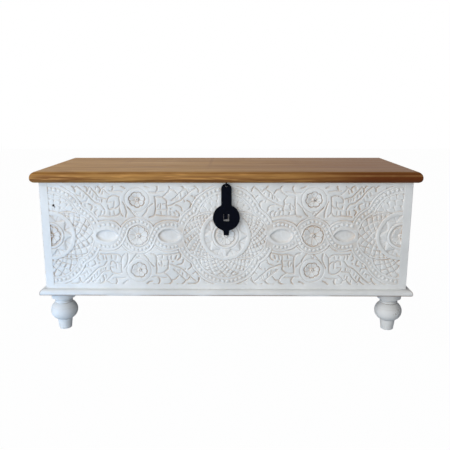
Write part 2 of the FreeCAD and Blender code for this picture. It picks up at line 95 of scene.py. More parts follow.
def noise(tree, vector, scale, detail=2.0, distortion=0.0):
    made = addNode(tree, "ShaderNodeTexNoise", {"Vector": vector, "Scale": scale, "Detail": detail,
                                                "Distortion": distortion})
    return made.outputs[0]


def drawnNoise(tree, vector, scales, detail=2.0, distortion=0.0):
    return noise(tree, vectorMath(tree, "MULTIPLY", vector, scales)[0], 1.0, detail, distortion)


def srgb(red, green, blue):
    def linear(level):
        level = level / 255.0
        return level / 12.92 if level <= 0.04045 else ((level + 0.055) / 1.055) ** 2.4
    return linear(red), linear(green), linear(blue), 1.0


# a group's inputs have a starting number, or the kind of socket where there is none
def nodeGroup(name, kind, inputs, outputs, gives="NodeSocketFloat"):
    tree = bpy.data.node_groups.new(name, kind)
    numbers = {float: "NodeSocketFloat", int: "NodeSocketInt"}
    for label, value in inputs.items():
        socket = tree.interface.new_socket(label, in_out="INPUT", socket_type=numbers.get(type(value), value))
        if type(value) in numbers:
            socket.default_value = value
    for label in outputs:
        tree.interface.new_socket(label, in_out="OUTPUT", socket_type=gives)
    return tree, tree.nodes.new("NodeGroupInput").outputs, tree.nodes.new("NodeGroupOutput").inputs


def placeGroup(tree, group, inputs):
    made = addNode(tree, "ShaderNodeGroup", node_tree=group)
    fillInputs(tree, made, inputs)
    return made.outputs


def newMaterial(name):
    material = bpy.data.materials.new(name)
    material.use_nodes = True
    tree = material.node_tree
    return material, tree, tree.nodes["Principled BSDF"]


def objectPoint(tree):
    return tree.nodes.new("ShaderNodeTexCoord").outputs["Object"]


def ownRise(tree):
    facing = tree.nodes.new("ShaderNodeNewGeometry").outputs["Normal"]
    turned = addNode(tree, "ShaderNodeVectorTransform", {0: facing}, vector_type="NORMAL",
                     convert_from="WORLD", convert_to="OBJECT")  # stays with the piece when it swings
    return parted(tree, turned.outputs[0])[2]


def bumped(tree, height, strength, distance):
    made = addNode(tree, "ShaderNodeBump", {"Height": height, "Strength": strength, "Distance": distance})
    return made.outputs[0]


def addPiece(name, data):
    piece = bpy.data.objects.new(name, data)
    scene.collection.objects.link(piece)
    return piece


def settle(piece):
    shown = bpy.context.evaluated_depsgraph_get()
    mesh = bpy.data.meshes.new_from_object(piece.evaluated_get(shown))
    piece.modifiers.clear()
    piece.data = mesh
    mesh.name = piece.name
    return mesh


# shared effects, each a group that several finishes use
edgeWear = {"samples": 6, "bend": (0.01, 0.22), "patches": (0.40, 0.66), "patchDetail": 4.0}


def makeWornEdge():
    tree, given, made = nodeGroup("wornEdge", "ShaderNodeTree",
                                  {"Radius": 0.003, "Amount": 1.0, "Patch Scale": 60.0}, ["Mask"])
    rounded = addNode(tree, "ShaderNodeBevel", {"Radius": given["Radius"]}, samples=edgeWear["samples"])
    facing = tree.nodes.new("ShaderNodeNewGeometry").outputs["Normal"]
    same = vectorMath(tree, "DOT_PRODUCT", rounded.outputs[0], facing)["Value"]
    edge = spread(tree, reckon(tree, "SUBTRACT", 1.0, same), *edgeWear["bend"])
    patches = noise(tree, objectPoint(tree), given["Patch Scale"], edgeWear["patchDetail"])
    mask = times(tree, edge, spread(tree, patches, *edgeWear["patches"]))
    tree.links.new(times(tree, mask, given["Amount"], True), made["Mask"])
    return tree


boardFigure = {"shift": (1.73, 0.4, 0.61), "slow": (1.3, 11.0, 11.0), "rings": 60.0, "ringShare": 0.10,
               "fibre": (2.6, 190.0, 190.0), "pores": (14.0, 420.0, 420.0), "streak": (5.0, 60.0, 105.0),
               "upright": (0.35, 0.85)}


def makeWoodFigure():
    tree, given, made = nodeGroup(
        "woodFigure", "ShaderNodeTree",
        {"Vector": "NodeSocketVector", "Board Width": 0.1125, "Board Start": 0.225},
        ["Figure", "Fibre", "Pores", "Board Tone", "Edge Streak"])
    across = reckon(tree, "ADD", parted(tree, given["Vector"])[1], given["Board Start"])
    board = reckon(tree, "FLOOR", reckon(tree, "DIVIDE", across, given["Board Width"]))
    tone = addNode(tree, "ShaderNodeTexWhiteNoise", {"W": board}, noise_dimensions="1D").outputs["Value"]
    steps = [times(tree, source, size) for source, size in zip((board, tone, board), boardFigure["shift"])]
    point = vectorMath(tree, "ADD", given["Vector"], joined(tree, *steps))[0]
    slow = drawnNoise(tree, point, boardFigure["slow"], 3.0, 0.35)
    rings = reckon(tree, "SINE", times(tree, slow, boardFigure["rings"]))
    upright = spread(tree, reckon(tree, "ABSOLUTE", ownRise(tree)), *boardFigure["upright"], 1.0, 0.0)
    streak = drawnNoise(tree, point, boardFigure["streak"], 4.0)
    effects = {"Figure": reckon(tree, "ADD", times(tree, rings, boardFigure["ringShare"]), slow),
               "Fibre": drawnNoise(tree, point, boardFigure["fibre"], 4.0, 0.2),
               "Pores": drawnNoise(tree, point, boardFigure["pores"]),
               "Board Tone": tone, "Edge Streak": times(tree, streak, upright)}
    for label, value in effects.items():
        tree.links.new(value, made[label])
    return tree


brushing = {"cloud": 9.0, "strokes": (60.0, 300.0, 300.0), "specks": 260.0}


def makeBrushMarks():
    tree, given, made = nodeGroup("brushMarks", "ShaderNodeTree", {"Vector": "NodeSocketVector"},
                                  ["Cloud", "Strokes", "Specks"])
    point = given["Vector"]
    tree.links.new(noise(tree, point, brushing["cloud"], 4.0), made["Cloud"])
    tree.links.new(drawnNoise(tree, point, brushing["strokes"], 3.0), made["Strokes"])
    tree.links.new(noise(tree, point, brushing["specks"], 3.0), made["Specks"])
    return tree


wornEdge = makeWornEdge()
woodFigure = makeWoodFigure()
brushMarks = makeBrushMarks()
print("effects:", [group.name for group in bpy.data.node_groups])

# finishes
paint = {"chalk": srgb(233, 235, 236), "shade": srgb(221, 223, 224), "clouds": (0.35, 0.7),
         "washAndShade": srgb(180, 140, 88), "washAndShadeAmount": 0.72, "patchy": (0.30, 0.62, 0.30, 1.0),
         "rightwardShare": (-0.5, 0.5, 0.75, 1.0), "bare": srgb(122, 84, 54), "wearRadius": 0.0035, "wearPatch": 38.0,
         "lowLine": (0.1275, 0.1310), "lineBreaks": (0.36, 0.56), "lineGrain": (7.0, 7.0, 60.0),
         "chip": srgb(42, 35, 32), "roughness": (0.70, 0.86), "sheen": 0.3, "strokes": 0.7, "specks": 0.3}
footMarks = {"rings": [(0.0345, 0.0013, 0.50), (0.0890, 0.0014, 0.50), (0.0950, 0.0010, 0.35),
                       (0.0745, 0.0007, 0.25)],
             "ringGrain": (40.0, 40.0, 9.0), "ringBreaks": (0.35, 0.60, 0.25, 1.0),
             "tone": srgb(124, 106, 92), "fleckPlace": (0.537, -0.199, 0.063), "fleckReach": 0.022,
             "flecks": 0.75, "fleckGrain": (190.0, 190.0, 330.0), "fleckBreaks": (0.58, 0.64)}


def markFoot(tree, colour, point, height):
    tone, reach = footMarks["tone"], footMarks["fleckReach"]
    broken = spread(tree, drawnNoise(tree, point, footMarks["ringGrain"], 3.0), *footMarks["ringBreaks"])
    for level, wide, share in footMarks["rings"]:
        ring = spread(tree, gapTo(tree, height, level), 0.2 * wide, wide, share, 0.0)
        colour = blendColour(tree, times(tree, ring, broken), colour, tone)
    away = vectorMath(tree, "DISTANCE", point, footMarks["fleckPlace"])["Value"]
    near = spread(tree, away, 0.5 * reach, reach, footMarks["flecks"], 0.0)
    flecks = spread(tree, drawnNoise(tree, point, footMarks["fleckGrain"]), *footMarks["fleckBreaks"])
    return blendColour(tree, times(tree, near, flecks), colour, tone)


def storedTone(tree, name):
    return addNode(tree, "ShaderNodeAttribute", attribute_name=name).outputs["Fac"]


def makeChalkPaint(name, wornEdges=0.0, lowLine=0.0, turned=False):
    material, tree, shader = newMaterial(name)
    point = objectPoint(tree)
    place = parted(tree, point)
    marks = placeGroup(tree, brushMarks, {"Vector": point})
    clouds = spread(tree, marks["Cloud"], *paint["clouds"])
    colour = blendColour(tree, clouds, paint["chalk"], paint["shade"])
    # the stored tone carries the antique wash in the hollows and painted shade on the steep carved walls
    share = times(tree, storedTone(tree, "washAndShade"), spread(tree, marks["Cloud"], *paint["patchy"]))
    share = times(tree, share, spread(tree, place[0], *paint["rightwardShare"]))  # less of it towards the left, more towards the right
    share = times(tree, share, paint["washAndShadeAmount"], True)
    colour = blendColour(tree, share, colour, paint["washAndShade"])
    if wornEdges:
        wear = {"Radius": paint["wearRadius"], "Amount": wornEdges, "Patch Scale": paint["wearPatch"]}
        colour = blendColour(tree, placeGroup(tree, wornEdge, wear)["Mask"], colour, paint["bare"])
    if lowLine:
        near = spread(tree, place[2], *paint["lowLine"], 1.0, 0.0)
        broken = spread(tree, drawnNoise(tree, point, paint["lineGrain"], 5.0), *paint["lineBreaks"])
        colour = blendColour(tree, times(tree, times(tree, near, broken), lowLine), colour, paint["bare"])
    if turned:
        colour = markFoot(tree, colour, point, place[2])
    colour = blendColour(tree, storedTone(tree, "chip"), colour, paint["chip"])
    strokes, specks = (times(tree, marks[part], paint[part.lower()]) for part in ("Strokes", "Specks"))
    fillInputs(tree, shader, {
        "Base Color": colour, "Roughness": spread(tree, marks["Specks"], 0.2, 0.8, *paint["roughness"]),
        "Specular IOR Level": paint["sheen"],
        "Normal": bumped(tree, reckon(tree, "ADD", strokes, specks), 0.25, 0.0006)})
    return material


grainBlend = {"toMid": (0.25, 0.55), "toLight": (0.5, 0.85), "fibre": (0.42, 0.66),
              "pores": (0.60, 0.75, 0.0, 0.4), "edges": (0.42, 0.64), "rough": (0.3, 0.7), "smoother": 0.06,
              "rougher": 0.10}
# the darkest lid tone is painted shade, laid on the top towards the right
lidFinish = {"dark": srgb(142, 100, 48), "mid": srgb(166, 124, 64), "light": srgb(184, 142, 82),
             "pore": srgb(104, 64, 26), "paintedShade": srgb(104, 54, 24), "streak": 0.55, "boards": 0.03,
             "edgeStreak": 0.9, "sheen": 0.055, "gloss": 0.42}
# the nosing takes painted shade towards the right, painted highlight streaks, and bands: painted shade along
# the bottom rounding and the top arris, painted highlight along the middle
lidEdge = {"level": (0.6, 0.99), "nosing": srgb(162, 112, 74), "nosingShare": 0.25,
           "topShadeAndSmudges": (-0.15, 0.5, 0.0, 0.6), "paintedShade": srgb(96, 47, 19),
           "edgeShade": (0.17, 0.43, 0.0, 0.95), "highlightStreak": (9.0, 40.0, 130.0),
           "highlightStreaks": (0.50, 0.66, 0.0, 0.6), "highlightFade": (0.1, 0.45, 1.0, 0.15),
           "smudges": [(-0.052, 0.010, 0.30), (-0.335, 0.016, 0.12), (0.235, 0.020, 0.15)],
           "smudgeFade": (-0.21, 0.1), "gleam": srgb(216, 164, 98),
           "shadeAndHighlightBands": [(0.4755, 0.012, 0.70, srgb(88, 57, 40)), (0.5052, 0.005, 0.95, srgb(94, 48, 12)),
                     (0.4970, 0.005, 0.35, srgb(196, 152, 96))], "patchy": (0.35, 0.65, 0.55, 1.0)}
bareFinish = {"dark": srgb(150, 112, 72), "mid": srgb(184, 148, 104), "light": srgb(206, 176, 132),
              "pore": srgb(120, 84, 50), "edge": srgb(120, 84, 52), "streak": 0.40, "boards": 0.22,
              "edgeStreak": 0.3, "gloss": 0.62, "wear": {"Radius": 0.003, "Amount": 0.6, "Patch Scale": 25.0}}


def makeWood(name, finish, turn, boardWidth, boardStart):
    material, tree, shader = newMaterial(name)
    place = objectPoint(tree)
    point = addNode(tree, "ShaderNodeMapping", {"Vector": place, "Rotation": turn}).outputs[0]
    grain = placeGroup(tree, woodFigure, {"Vector": point, "Board Width": boardWidth,
                                          "Board Start": boardStart})
    blends = [("Figure", grainBlend["toLight"], "light"),
              ("Fibre", (*grainBlend["fibre"], 0.0, finish["streak"]), "dark"),
              ("Pores", grainBlend["pores"], "pore"),
              ("Edge Streak", (*grainBlend["edges"], 0.0, finish["edgeStreak"]), "pore"),
              ("Board Tone", (0.0, 1.0, 0.0, finish["boards"]), "light")]
    share = spread(tree, grain["Figure"], *grainBlend["toMid"])
    colour = blendColour(tree, share, finish["dark"], finish["mid"])
    for effect, reach, tone in blends:
        colour = blendColour(tree, spread(tree, grain[effect], *reach), colour, finish[tone])
    if "wear" in finish:
        worn = placeGroup(tree, wornEdge, finish["wear"])["Mask"]
        colour = blendColour(tree, worn, colour, finish["edge"])
    else:
        colour = shadeLidEdge(tree, colour, place, finish["paintedShade"])
        shader.inputs["Specular IOR Level"].default_value = finish["sheen"]
    rough = (finish["gloss"] - grainBlend["smoother"], finish["gloss"] + grainBlend["rougher"])
    fillInputs(tree, shader, {
        "Base Color": colour, "Roughness": spread(tree, grain["Fibre"], *grainBlend["rough"], *rough),
        "Normal": bumped(tree, grain["Fibre"], 0.12, 0.0005)})
    return material


def shadeLidEdge(tree, colour, place, topShadeAndSmudges):
    spot = parted(tree, place)
    rise = ownRise(tree)
    upward = spread(tree, rise, *lidEdge["level"])
    outward = spread(tree, reckon(tree, "ABSOLUTE", rise), *lidEdge["level"], 1.0, 0.0)
    colour = blendColour(tree, times(tree, outward, lidEdge["nosingShare"]), colour, lidEdge["nosing"])
    # painted shade: the top turns darker towards the right
    onTop = times(tree, upward, spread(tree, spot[0], *lidEdge["topShadeAndSmudges"]))
    colour = blendColour(tree, onTop, colour, topShadeAndSmudges)
    # a few smudges on the top, in the tone of the painted shade
    for middle, reach, share in lidEdge["smudges"]:
        mark = spread(tree, gapTo(tree, spot[0], middle), 0.0, reach, share, 0.0)
        mark = times(tree, mark, spread(tree, spot[1], *lidEdge["smudgeFade"]))
        colour = blendColour(tree, times(tree, mark, upward), colour, topShadeAndSmudges)
    # painted highlight: light streaks along the edges, fading towards the right
    highlightStreak = spread(tree, drawnNoise(tree, place, lidEdge["highlightStreak"], 3.0, 0.4), *lidEdge["highlightStreaks"])
    highlightStreak = times(tree, highlightStreak, spread(tree, spot[0], *lidEdge["highlightFade"]))
    colour = blendColour(tree, times(tree, highlightStreak, outward), colour, lidEdge["gleam"])
    # painted shade: the edges turn darker towards the right
    onEdge = times(tree, outward, spread(tree, spot[0], *lidEdge["edgeShade"]))
    colour = blendColour(tree, onEdge, colour, lidEdge["paintedShade"])
    # painted shade along the bottom rounding and the top arris, painted highlight along the middle of the
    # nosing
    patchy = spread(tree, noise(tree, spot[0], 7.0, 3.0), *lidEdge["patchy"])
    for middle, reach, share, tone in lidEdge["shadeAndHighlightBands"]:
        band = spread(tree, gapTo(tree, spot[2], middle), 0.1 * reach, reach, share, 0.0)
        band = times(tree, times(tree, band, outward), patchy)
        colour = blendColour(tree, band, colour, tone)
    return colour


ironFinish = {"low": srgb(6, 9, 17), "high": srgb(9, 12, 23), "rubbed": srgb(20, 21, 27),
              "roughness": 0.52, "metallic": 0.0, "sheen": 0.02}
hingeFinish = {"low": srgb(40, 40, 43), "high": srgb(66, 66, 69), "rubbed": srgb(120, 118, 114),
               "roughness": 0.45, "metallic": 0.4, "sheen": 0.4}
screwFinish = {"low": srgb(120, 120, 122), "high": srgb(150, 150, 150), "rubbed": srgb(190, 190, 188),
               "roughness": 0.35, "metallic": 0.8, "sheen": 0.5}
ironWear = {"Radius": 0.0012, "Amount": 0.5, "Patch Scale": 120.0}
ironSkin = {"hammer": 130.0, "grit": 900.0, "gritShare": 0.2, "tones": (0.3, 0.7)}


def makeIron(name, finish):
    material, tree, shader = newMaterial(name)
    point = objectPoint(tree)
    hammer = noise(tree, point, ironSkin["hammer"])
    grit = noise(tree, point, ironSkin["grit"])
    colour = blendColour(tree, spread(tree, hammer, *ironSkin["tones"]), finish["low"], finish["high"])
    colour = blendColour(tree, placeGroup(tree, wornEdge, ironWear)["Mask"], colour, finish["rubbed"])
    rough = (finish["roughness"] - 0.07, finish["roughness"] + 0.1)
    skin = reckon(tree, "ADD", hammer, times(tree, grit, ironSkin["gritShare"]))
    fillInputs(tree, shader, {
        "Base Color": colour, "Roughness": spread(tree, grit, *ironSkin["tones"], *rough),
        "Metallic": finish["metallic"], "Specular IOR Level": finish["sheen"],
        "Normal": bumped(tree, skin, 0.3, 0.0008)})
    return material


carvedPaint = makeChalkPaint("carvedPaint")
chalkPaint = makeChalkPaint("chalkPaint", 0.75)
plinthPaint = makeChalkPaint("plinthPaint", 0.8, 0.9)
footPaint = makeChalkPaint("footPaint", 0.75, turned=True)
quarter = math.pi / 2.0
lidWood = makeWood("oiledLid", lidFinish, (0, 0, 0), 0.1125, 0.2252)
bareLong = makeWood("bareLong", bareFinish, (0, 0, 0), 0.12, 0.3)
bareCross = makeWood("bareCross", bareFinish, (0, 0, quarter), 0.12, 0.3)
bareUpright = makeWood("bareUpright", bareFinish, (0, quarter, 0), 0.5, 0.25)
blackIron = makeIron("blackIron", ironFinish)
hingeIron = makeIron("hingeIron", hingeFinish)
screwSteel = makeIron("screwSteel", screwFinish)
print("finishes:", len(bpy.data.materials))

# the carving, worked out as a height in millimetres over a grid drawn about the middle of the field
carving = {"cell": 1.0, "half": 530.0, "low": -168.0, "high": 163.0, "border": 152.0, "middle": 312.0,
           "depth": 5.0, "face": -205.0, "back": -185.0, "ground": 4.0, "deepest": -3.8, "lift": 1.5,
           "wobble": 0.55, "leafWobble": 0.4, "rough": 0.2, "toolMarks": 0.10, "seed": 11}
medalPlaces = (-carving["half"], 0.0, carving["half"])


def evenSteps(low, high):
    return np.linspace(low, high, round((high - low) / carving["cell"]) + 1)


columns = evenSteps(-carving["half"], carving["half"])
rows = evenSteps(carving["low"], carving["high"])
gridX, gridZ = np.meshgrid(columns, rows)
draw = np.random.default_rng(carving["seed"])


def waver(count, shortest, longest):
    total = np.zeros_like(gridX)
    for _ in range(count):
        angle, phase = draw.uniform(0.0, 2.0 * math.pi, 2)
        length = draw.uniform(shortest, longest)
        along = gridX * math.cos(angle) + gridZ * math.sin(angle)
        total += np.sin(along * 2.0 * math.pi / length + phase)
    return total / math.sqrt(count / 2.0)


fieldX = gridX + carving["wobble"] * waver(7, 38.0, 120.0)
fieldZ = gridZ + carving["wobble"] * waver(7, 38.0, 120.0)
leafX = fieldX + carving["leafWobble"] * waver(6, 22.0, 60.0)
leafZ = fieldZ + carving["leafWobble"] * waver(6, 22.0, 60.0)
height = carving["ground"] + carving["rough"] * waver(9, 9.0, 30.0)
channelWash, cleanPaint, petalWash = (np.zeros_like(height) for part in range(3))


# from 0 to 1 over a run in millimetres, with soft ends
def ease(value, run):
    share = np.clip(value / run, 0.0, 1.0)
    return share * share * (3.0 - 2.0 * share)


def around(xLow, xHigh, zLow, zHigh, sx=1, sz=1, lift=0.0):
    margin = 4.0
    xs = sorted((xLow * sx, xHigh * sx))
    zs = sorted((zLow * sz + lift, zHigh * sz + lift))
    c = np.searchsorted(columns, (xs[0] - margin, xs[1] + margin))
    r = np.searchsorted(rows, (zs[0] - margin, zs[1] + margin))
    return slice(r[0], r[1]), slice(c[0], c[1])


def lay(area, level, cover):
    height[area] += (level - height[area]) * cover


def cutLine(area, off, half, depth, cover=1.0):
    height[area] -= depth * np.clip(1.0 - np.abs(off) / half, 0.0, 1.0) ** 0.8 * cover


def curveThrough(points, step=2.5):
    p = np.array(points, float)
    p = np.vstack([2 * p[0] - p[1], p, 2 * p[-1] - p[-2]])
    made = []
    for i in range(1, len(p) - 2):
        a, b, c, d = p[i - 1:i + 3]
        t = np.linspace(0.0, 1.0, max(2, int(np.hypot(*(c - b)) / step)), endpoint=False)[:, None]
        made.append(0.5 * (2 * b + (c - a) * t + (2 * a - 5 * b + 4 * c - d) * t ** 2
                           + (3 * b - a - 3 * c + d) * t ** 3))
    return np.vstack(made + [p[-2:-1]])


def alongPath(path, x, z):
    runs = path[1:] - path[:-1]
    lengths = np.hypot(runs[:, 0], runs[:, 1])
    begun = np.concatenate([[0.0], np.cumsum(lengths)])
    best = np.full(x.shape, 1e9)
    side = np.zeros(x.shape)
    far = np.zeros(x.shape)
    for start, run, length, begin in zip(path[:-1], runs, lengths, begun):
        relX, relZ = x - start[0], z - start[1]
        t = np.clip((relX * run[0] + relZ * run[1]) / length ** 2, 0.0, 1.0)
        away = (relX - t * run[0]) ** 2 + (relZ - t * run[1]) ** 2
        better = away < best
        best = np.where(better, away, best)
        far = np.where(better, begin + t * length, far)
        side = np.where(better, np.sign(run[0] * relZ - run[1] * relX), side)
    return np.sqrt(best), side, far, begun[-1]


def softened(values, reach):
    width = 2 * reach + 1
    for axis in (0, 1, 0, 1):
        pad = [(0, 0), (0, 0)]
        pad[axis] = (reach + 1, reach)
        run = np.cumsum(np.pad(values, pad, mode="edge"), axis=axis)
        size = run.shape[axis]
        values = (np.take(run, range(width, size), axis) - np.take(run, range(size - width), axis)) / width
    return values


# one quarter between the medallions, as knife cuts: a path, half width at its start and end, depth
leafCuts = {
    "farLeaf": [
        ([(-481, 154), (-468, 156), (-457, 152), (-449, 144), (-448, 135)], 1.4, 2.3, 3.6),
        ([(-445, 155), (-432, 156), (-420, 151), (-411, 142), (-411, 133)], 1.4, 2.4, 3.6),
        ([(-447, 144), (-440, 149.5), (-430, 142), (-420, 134), (-412, 125), (-402, 114), (-393, 106),
          (-386, 100), (-375, 97), (-369, 91), (-362, 81)], 1.7, 1.8, 2.3),
        ([(-411, 139), (-404, 148), (-395, 138), (-388, 130), (-382, 122), (-377, 117), (-368, 115),
          (-357, 112)], 1.7, 1.5, 2.3),
        ([(-407, 155), (-394, 156), (-382, 151), (-373, 141), (-375, 131)], 1.4, 2.6, 3.8),
        ([(-373, 138), (-366, 143), (-360, 139), (-352, 130), (-346, 125)], 1.4, 1.2, 1.4),
        ([(-401, 134), (-403, 126)], 1.6, 1.3, 1.7), ([(-393, 125), (-394, 117)], 1.6, 1.3, 1.7),
        ([(-383, 115), (-382, 108)], 1.5, 1.3, 1.6), ([(-376, 110), (-375, 105)], 1.4, 1.2, 1.3),
        ([(-368, 110), (-369, 103)], 2.0, 1.8, 2.8), ([(-385, 147), (-386, 141)], 1.5, 1.4, 1.6),
        ([(-365, 135), (-367, 127)], 1.6, 1.4, 1.9), ([(-431, 130), (-434, 124)], 1.3, 1.2, 1.0),
        ([(-421, 121), (-424, 115)], 1.3, 1.2, 1.0), ([(-411, 112), (-414, 106)], 1.3, 1.2, 1.0),
        ([(-443, 124), (-430, 121)], 1.4, 1.1, 1.3),
        ([(-434, 104), (-426, 103), (-415, 104)], 1.6, 1.2, 1.9),
        ([(-429, 102), (-432, 93)], 2.2, 2.6, 3.4), ([(-418, 97), (-418, 89)], 1.3, 1.2, 1.4),
        ([(-407, 97), (-399, 93), (-399, 86), (-402, 80)], 1.5, 2.4, 3.2),
        ([(-388, 88), (-386, 87)], 1.7, 1.7, 2.2), ([(-384, 78), (-391, 72), (-388, 63)], 1.4, 2.0, 2.6)],
    "farBlock": [
        ([(-353, 101), (-352, 110), (-346, 117), (-336, 121), (-324, 121), (-317, 117)], 2.0, 1.4, 2.3),
        ([(-351, 100), (-341, 101)], 1.3, 1.2, 1.4), ([(-332, 103), (-333, 88)], 1.3, 1.4, 1.6),
        ([(-351, 91), (-350, 83), (-343, 81), (-335, 86)], 1.6, 2.3, 3.0),
        ([(-331, 84), (-323, 87), (-317, 93)], 1.7, 2.5, 3.0), ([(-371, 75), (-373, 63)], 1.5, 1.6, 2.0),
        ([(-362, 75), (-364, 62)], 1.4, 1.6, 2.0), ([(-346, 73), (-347, 62)], 1.3, 1.5, 1.8),
        ([(-334, 74), (-333, 62)], 1.3, 1.4, 1.7),
        ([(-380, 58), (-372, 60), (-355, 60), (-335, 59.5), (-323, 63), (-317, 70)], 2.2, 1.9, 2.5)],
    "bars": [
        ([(-345, 137), (-335, 135.5), (-322, 136), (-306, 134)], 1.4, 1.2, 1.5),
        ([(-352, 155), (-340, 155), (-333, 148), (-336, 138)], 1.4, 2.5, 3.6),
        ([(-357, 150), (-362, 145), (-368, 143)], 1.3, 1.3, 1.5),
        ([(-314, 154), (-306, 147), (-298, 144)], 2.4, 1.4, 3.2),
        ([(-316, 118), (-317, 100), (-317, 80), (-314, 67), (-307, 59)], 1.8, 1.7, 2.5),
        ([(-308, 103), (-302, 92), (-299, 82), (-297, 70), (-298, 58)], 1.2, 2.3, 2.8),
        ([(-293, 86), (-285, 77), (-277, 68), (-270, 60)], 1.2, 2.0, 2.6),
        ([(-232, 85), (-236, 74), (-241, 66), (-247, 60)], 1.3, 1.9, 2.5),
        ([(-272, 66), (-268, 72), (-263, 66)], 1.1, 1.1, 1.0),
        ([(-211, 119), (-209, 100), (-209, 78), (-211, 66), (-217, 59), (-226, 57)], 1.7, 2.5, 2.8),
        ([(-229, 86), (-222, 93), (-216, 99)], 1.5, 1.4, 1.7),
        ([(-212, 118), (-200, 119.5), (-188, 118)], 1.6, 1.7, 2.0),
        ([(-226, 131.5), (-214, 130), (-204, 132), (-190, 133.5), (-181, 133)], 1.5, 1.1, 1.7),
        ([(-222, 155), (-210, 155), (-202, 147), (-203, 137), (-208, 131)], 1.4, 2.4, 3.6),
        ([(-243, 154), (-235, 148), (-226, 146)], 2.5, 1.6, 3.4),
        ([(-187, 119), (-178, 125), (-170, 132), (-166, 140)], 1.4, 1.7, 2.2)],
    "nearBlock": [
        ([(-188, 118.5), (-181, 114), (-175, 107), (-176, 98), (-174, 88), (-173, 77)], 2.3, 1.8, 3.0),
        ([(-187, 97), (-176, 97)], 1.5, 1.4, 1.8), ([(-199, 95), (-204, 87)], 1.5, 1.4, 1.8),
        ([(-194, 98), (-193, 88), (-194, 81)], 1.3, 2.0, 2.2),
        ([(-208, 80), (-192, 78), (-176, 79)], 1.2, 1.2, 1.0), ([(-192, 72), (-191, 61)], 1.5, 1.6, 2.0),
        ([(-175, 76), (-174, 61)], 1.3, 1.5, 1.8), ([(-165, 74), (-162, 61)], 1.5, 1.5, 1.9),
        ([(-152, 72), (-149, 62)], 2.0, 1.8, 2.6),
        ([(-146, 76), (-139, 70), (-137, 62), (-141, 54)], 1.5, 2.5, 3.2),
        ([(-208, 64), (-192, 60), (-170, 60), (-150, 57), (-142, 55)], 1.7, 2.0, 2.5)],
    "nearLeaf": [
        ([(-188, 155), (-176, 155), (-167, 150), (-163, 141)], 1.4, 2.5, 3.6),
        ([(-163, 141), (-157, 141), (-152, 138), (-147, 131), (-144, 128)], 2.4, 1.2, 2.8),
        ([(-160, 107), (-152, 113), (-143, 121), (-133, 131), (-124, 139)], 1.5, 1.7, 2.2),
        ([(-156, 112), (-155, 106)], 1.6, 1.3, 1.8), ([(-147, 117), (-146, 111)], 1.5, 1.3, 1.6),
        ([(-140, 120), (-141, 111)], 2.0, 1.5, 2.4), ([(-132, 127), (-131, 119)], 1.9, 1.5, 2.2),
        ([(-149, 155), (-138, 156), (-128, 151), (-121, 142)], 1.4, 2.6, 3.8),
        ([(-120, 141), (-116, 141), (-112, 136), (-110, 131)], 1.6, 1.6, 2.8),
        ([(-172, 91), (-158, 95), (-145, 101), (-132, 108), (-120, 118), (-110, 128), (-100, 137),
          (-90, 145)], 1.5, 2.0, 2.5),
        ([(-113, 153), (-101, 155), (-90, 151), (-82, 143), (-80, 135)], 1.4, 2.3, 3.6),
        ([(-123, 109), (-121, 105)], 1.6, 1.4, 1.9), ([(-118, 129), (-117, 122)], 1.5, 1.3, 1.5),
        ([(-107, 138), (-106, 132)], 1.5, 1.3, 1.5),
        ([(-147, 94), (-136, 91), (-130, 86), (-128, 76)], 1.4, 2.1, 2.8),
        ([(-113, 107), (-106, 103), (-103, 96), (-104, 87)], 1.5, 2.6, 3.4),
        ([(-99, 121), (-91, 116), (-86, 106)], 1.5, 2.1, 2.8), ([(-82, 123), (-88, 118)], 1.7, 1.6, 2.2),
        ([(-163, 82), (-160, 82)], 1.9, 1.9, 2.4)]}
leafField = {"box": (-475.0, -70.0, 46.0, 158.0), "level": 3.3, "swell": 2.0, "reach": 7.5, "widen": 1.35,
             "cutShare": 0.8075, "margin": 14.0}
rosettes = {"roundel": {"radius": 23.6, "petals": 7, "button": 5.6, "hole": 2.4, "turn": 0.2, "notch": 0.03,
                        "gap": 2.0},
            "medal": {"radius": 29.5, "petals": 9, "button": 7.0, "hole": 2.8, "turn": 0.1, "notch": 0.05,
                      "gap": 1.3},
            "braid": {"radius": 31.0, "petals": 8, "button": 6.6, "hole": 3.0, "turn": 0.15, "notch": 0.07,
                      "gap": 1.2}}
petalCut = {"dip": 0.17, "dipPower": 2.4, "notchWidth": 0.16, "gapLevel": -1.2, "heart": -3.2, "rise": 7.3,
            "risePower": 1.1, "lip": 1.1, "groove": 2.9, "grooveHalf": 1.9, "limits": (-3.6, 4.9),
            "well": -1.6, "wellWidth": 1.6, "buttonTop": 4.2, "buttonFall": 0.9, "holeLevel": -0.6}
roundel = {"x": -264.5, "z": 109.5, "outer": 36.0, "reach": 46.0, "crown": (29.5, 6.5, 4.9, 0.7, 3.0)}


# cuts into a nearly level ground that swells a little between them
def carveLeaves(sx, sz):
    lift = carving["lift"]
    xLow, xHigh, zLow, zHigh = leafField["box"]
    area = around(xLow, xHigh, zLow, zHigh, sx, sz, lift)
    x, z = leafX[area] * sx, (leafZ[area] - lift) * sz
    near, deep = np.full(x.shape, 99.0), np.zeros(x.shape)
    for points, start, end, depth in sum(leafCuts.values(), []):
        path = curveThrough(points, 3.0)
        middle, half = path.mean(0), np.ptp(path, axis=0) / 2.0 + leafField["margin"]
        close = (np.abs(x - middle[0]) < half[0]) & (np.abs(z - middle[1]) < half[1])
        off, _, far, total = alongPath(path, x[close], z[close])
        wide = leafField["widen"] * (start + (end - start) * far / total)
        near[close] = np.minimum(near[close], off)
        deep[close] = np.maximum(deep[close], depth * np.clip(1.0 - off / wide, 0.0, 1.0))
    swell = 1.0 - (1.0 - np.clip(near / leafField["reach"], 0.0, 1.0)) ** 2
    level = leafField["level"] + leafField["swell"] * swell - leafField["cutShare"] * deep
    lay(area, level, ease(z - zLow, 3.0) * (x > xLow))


def crowned(away, middle, half, top, fall, power):
    return top - fall * np.abs((away - middle) / half) ** power


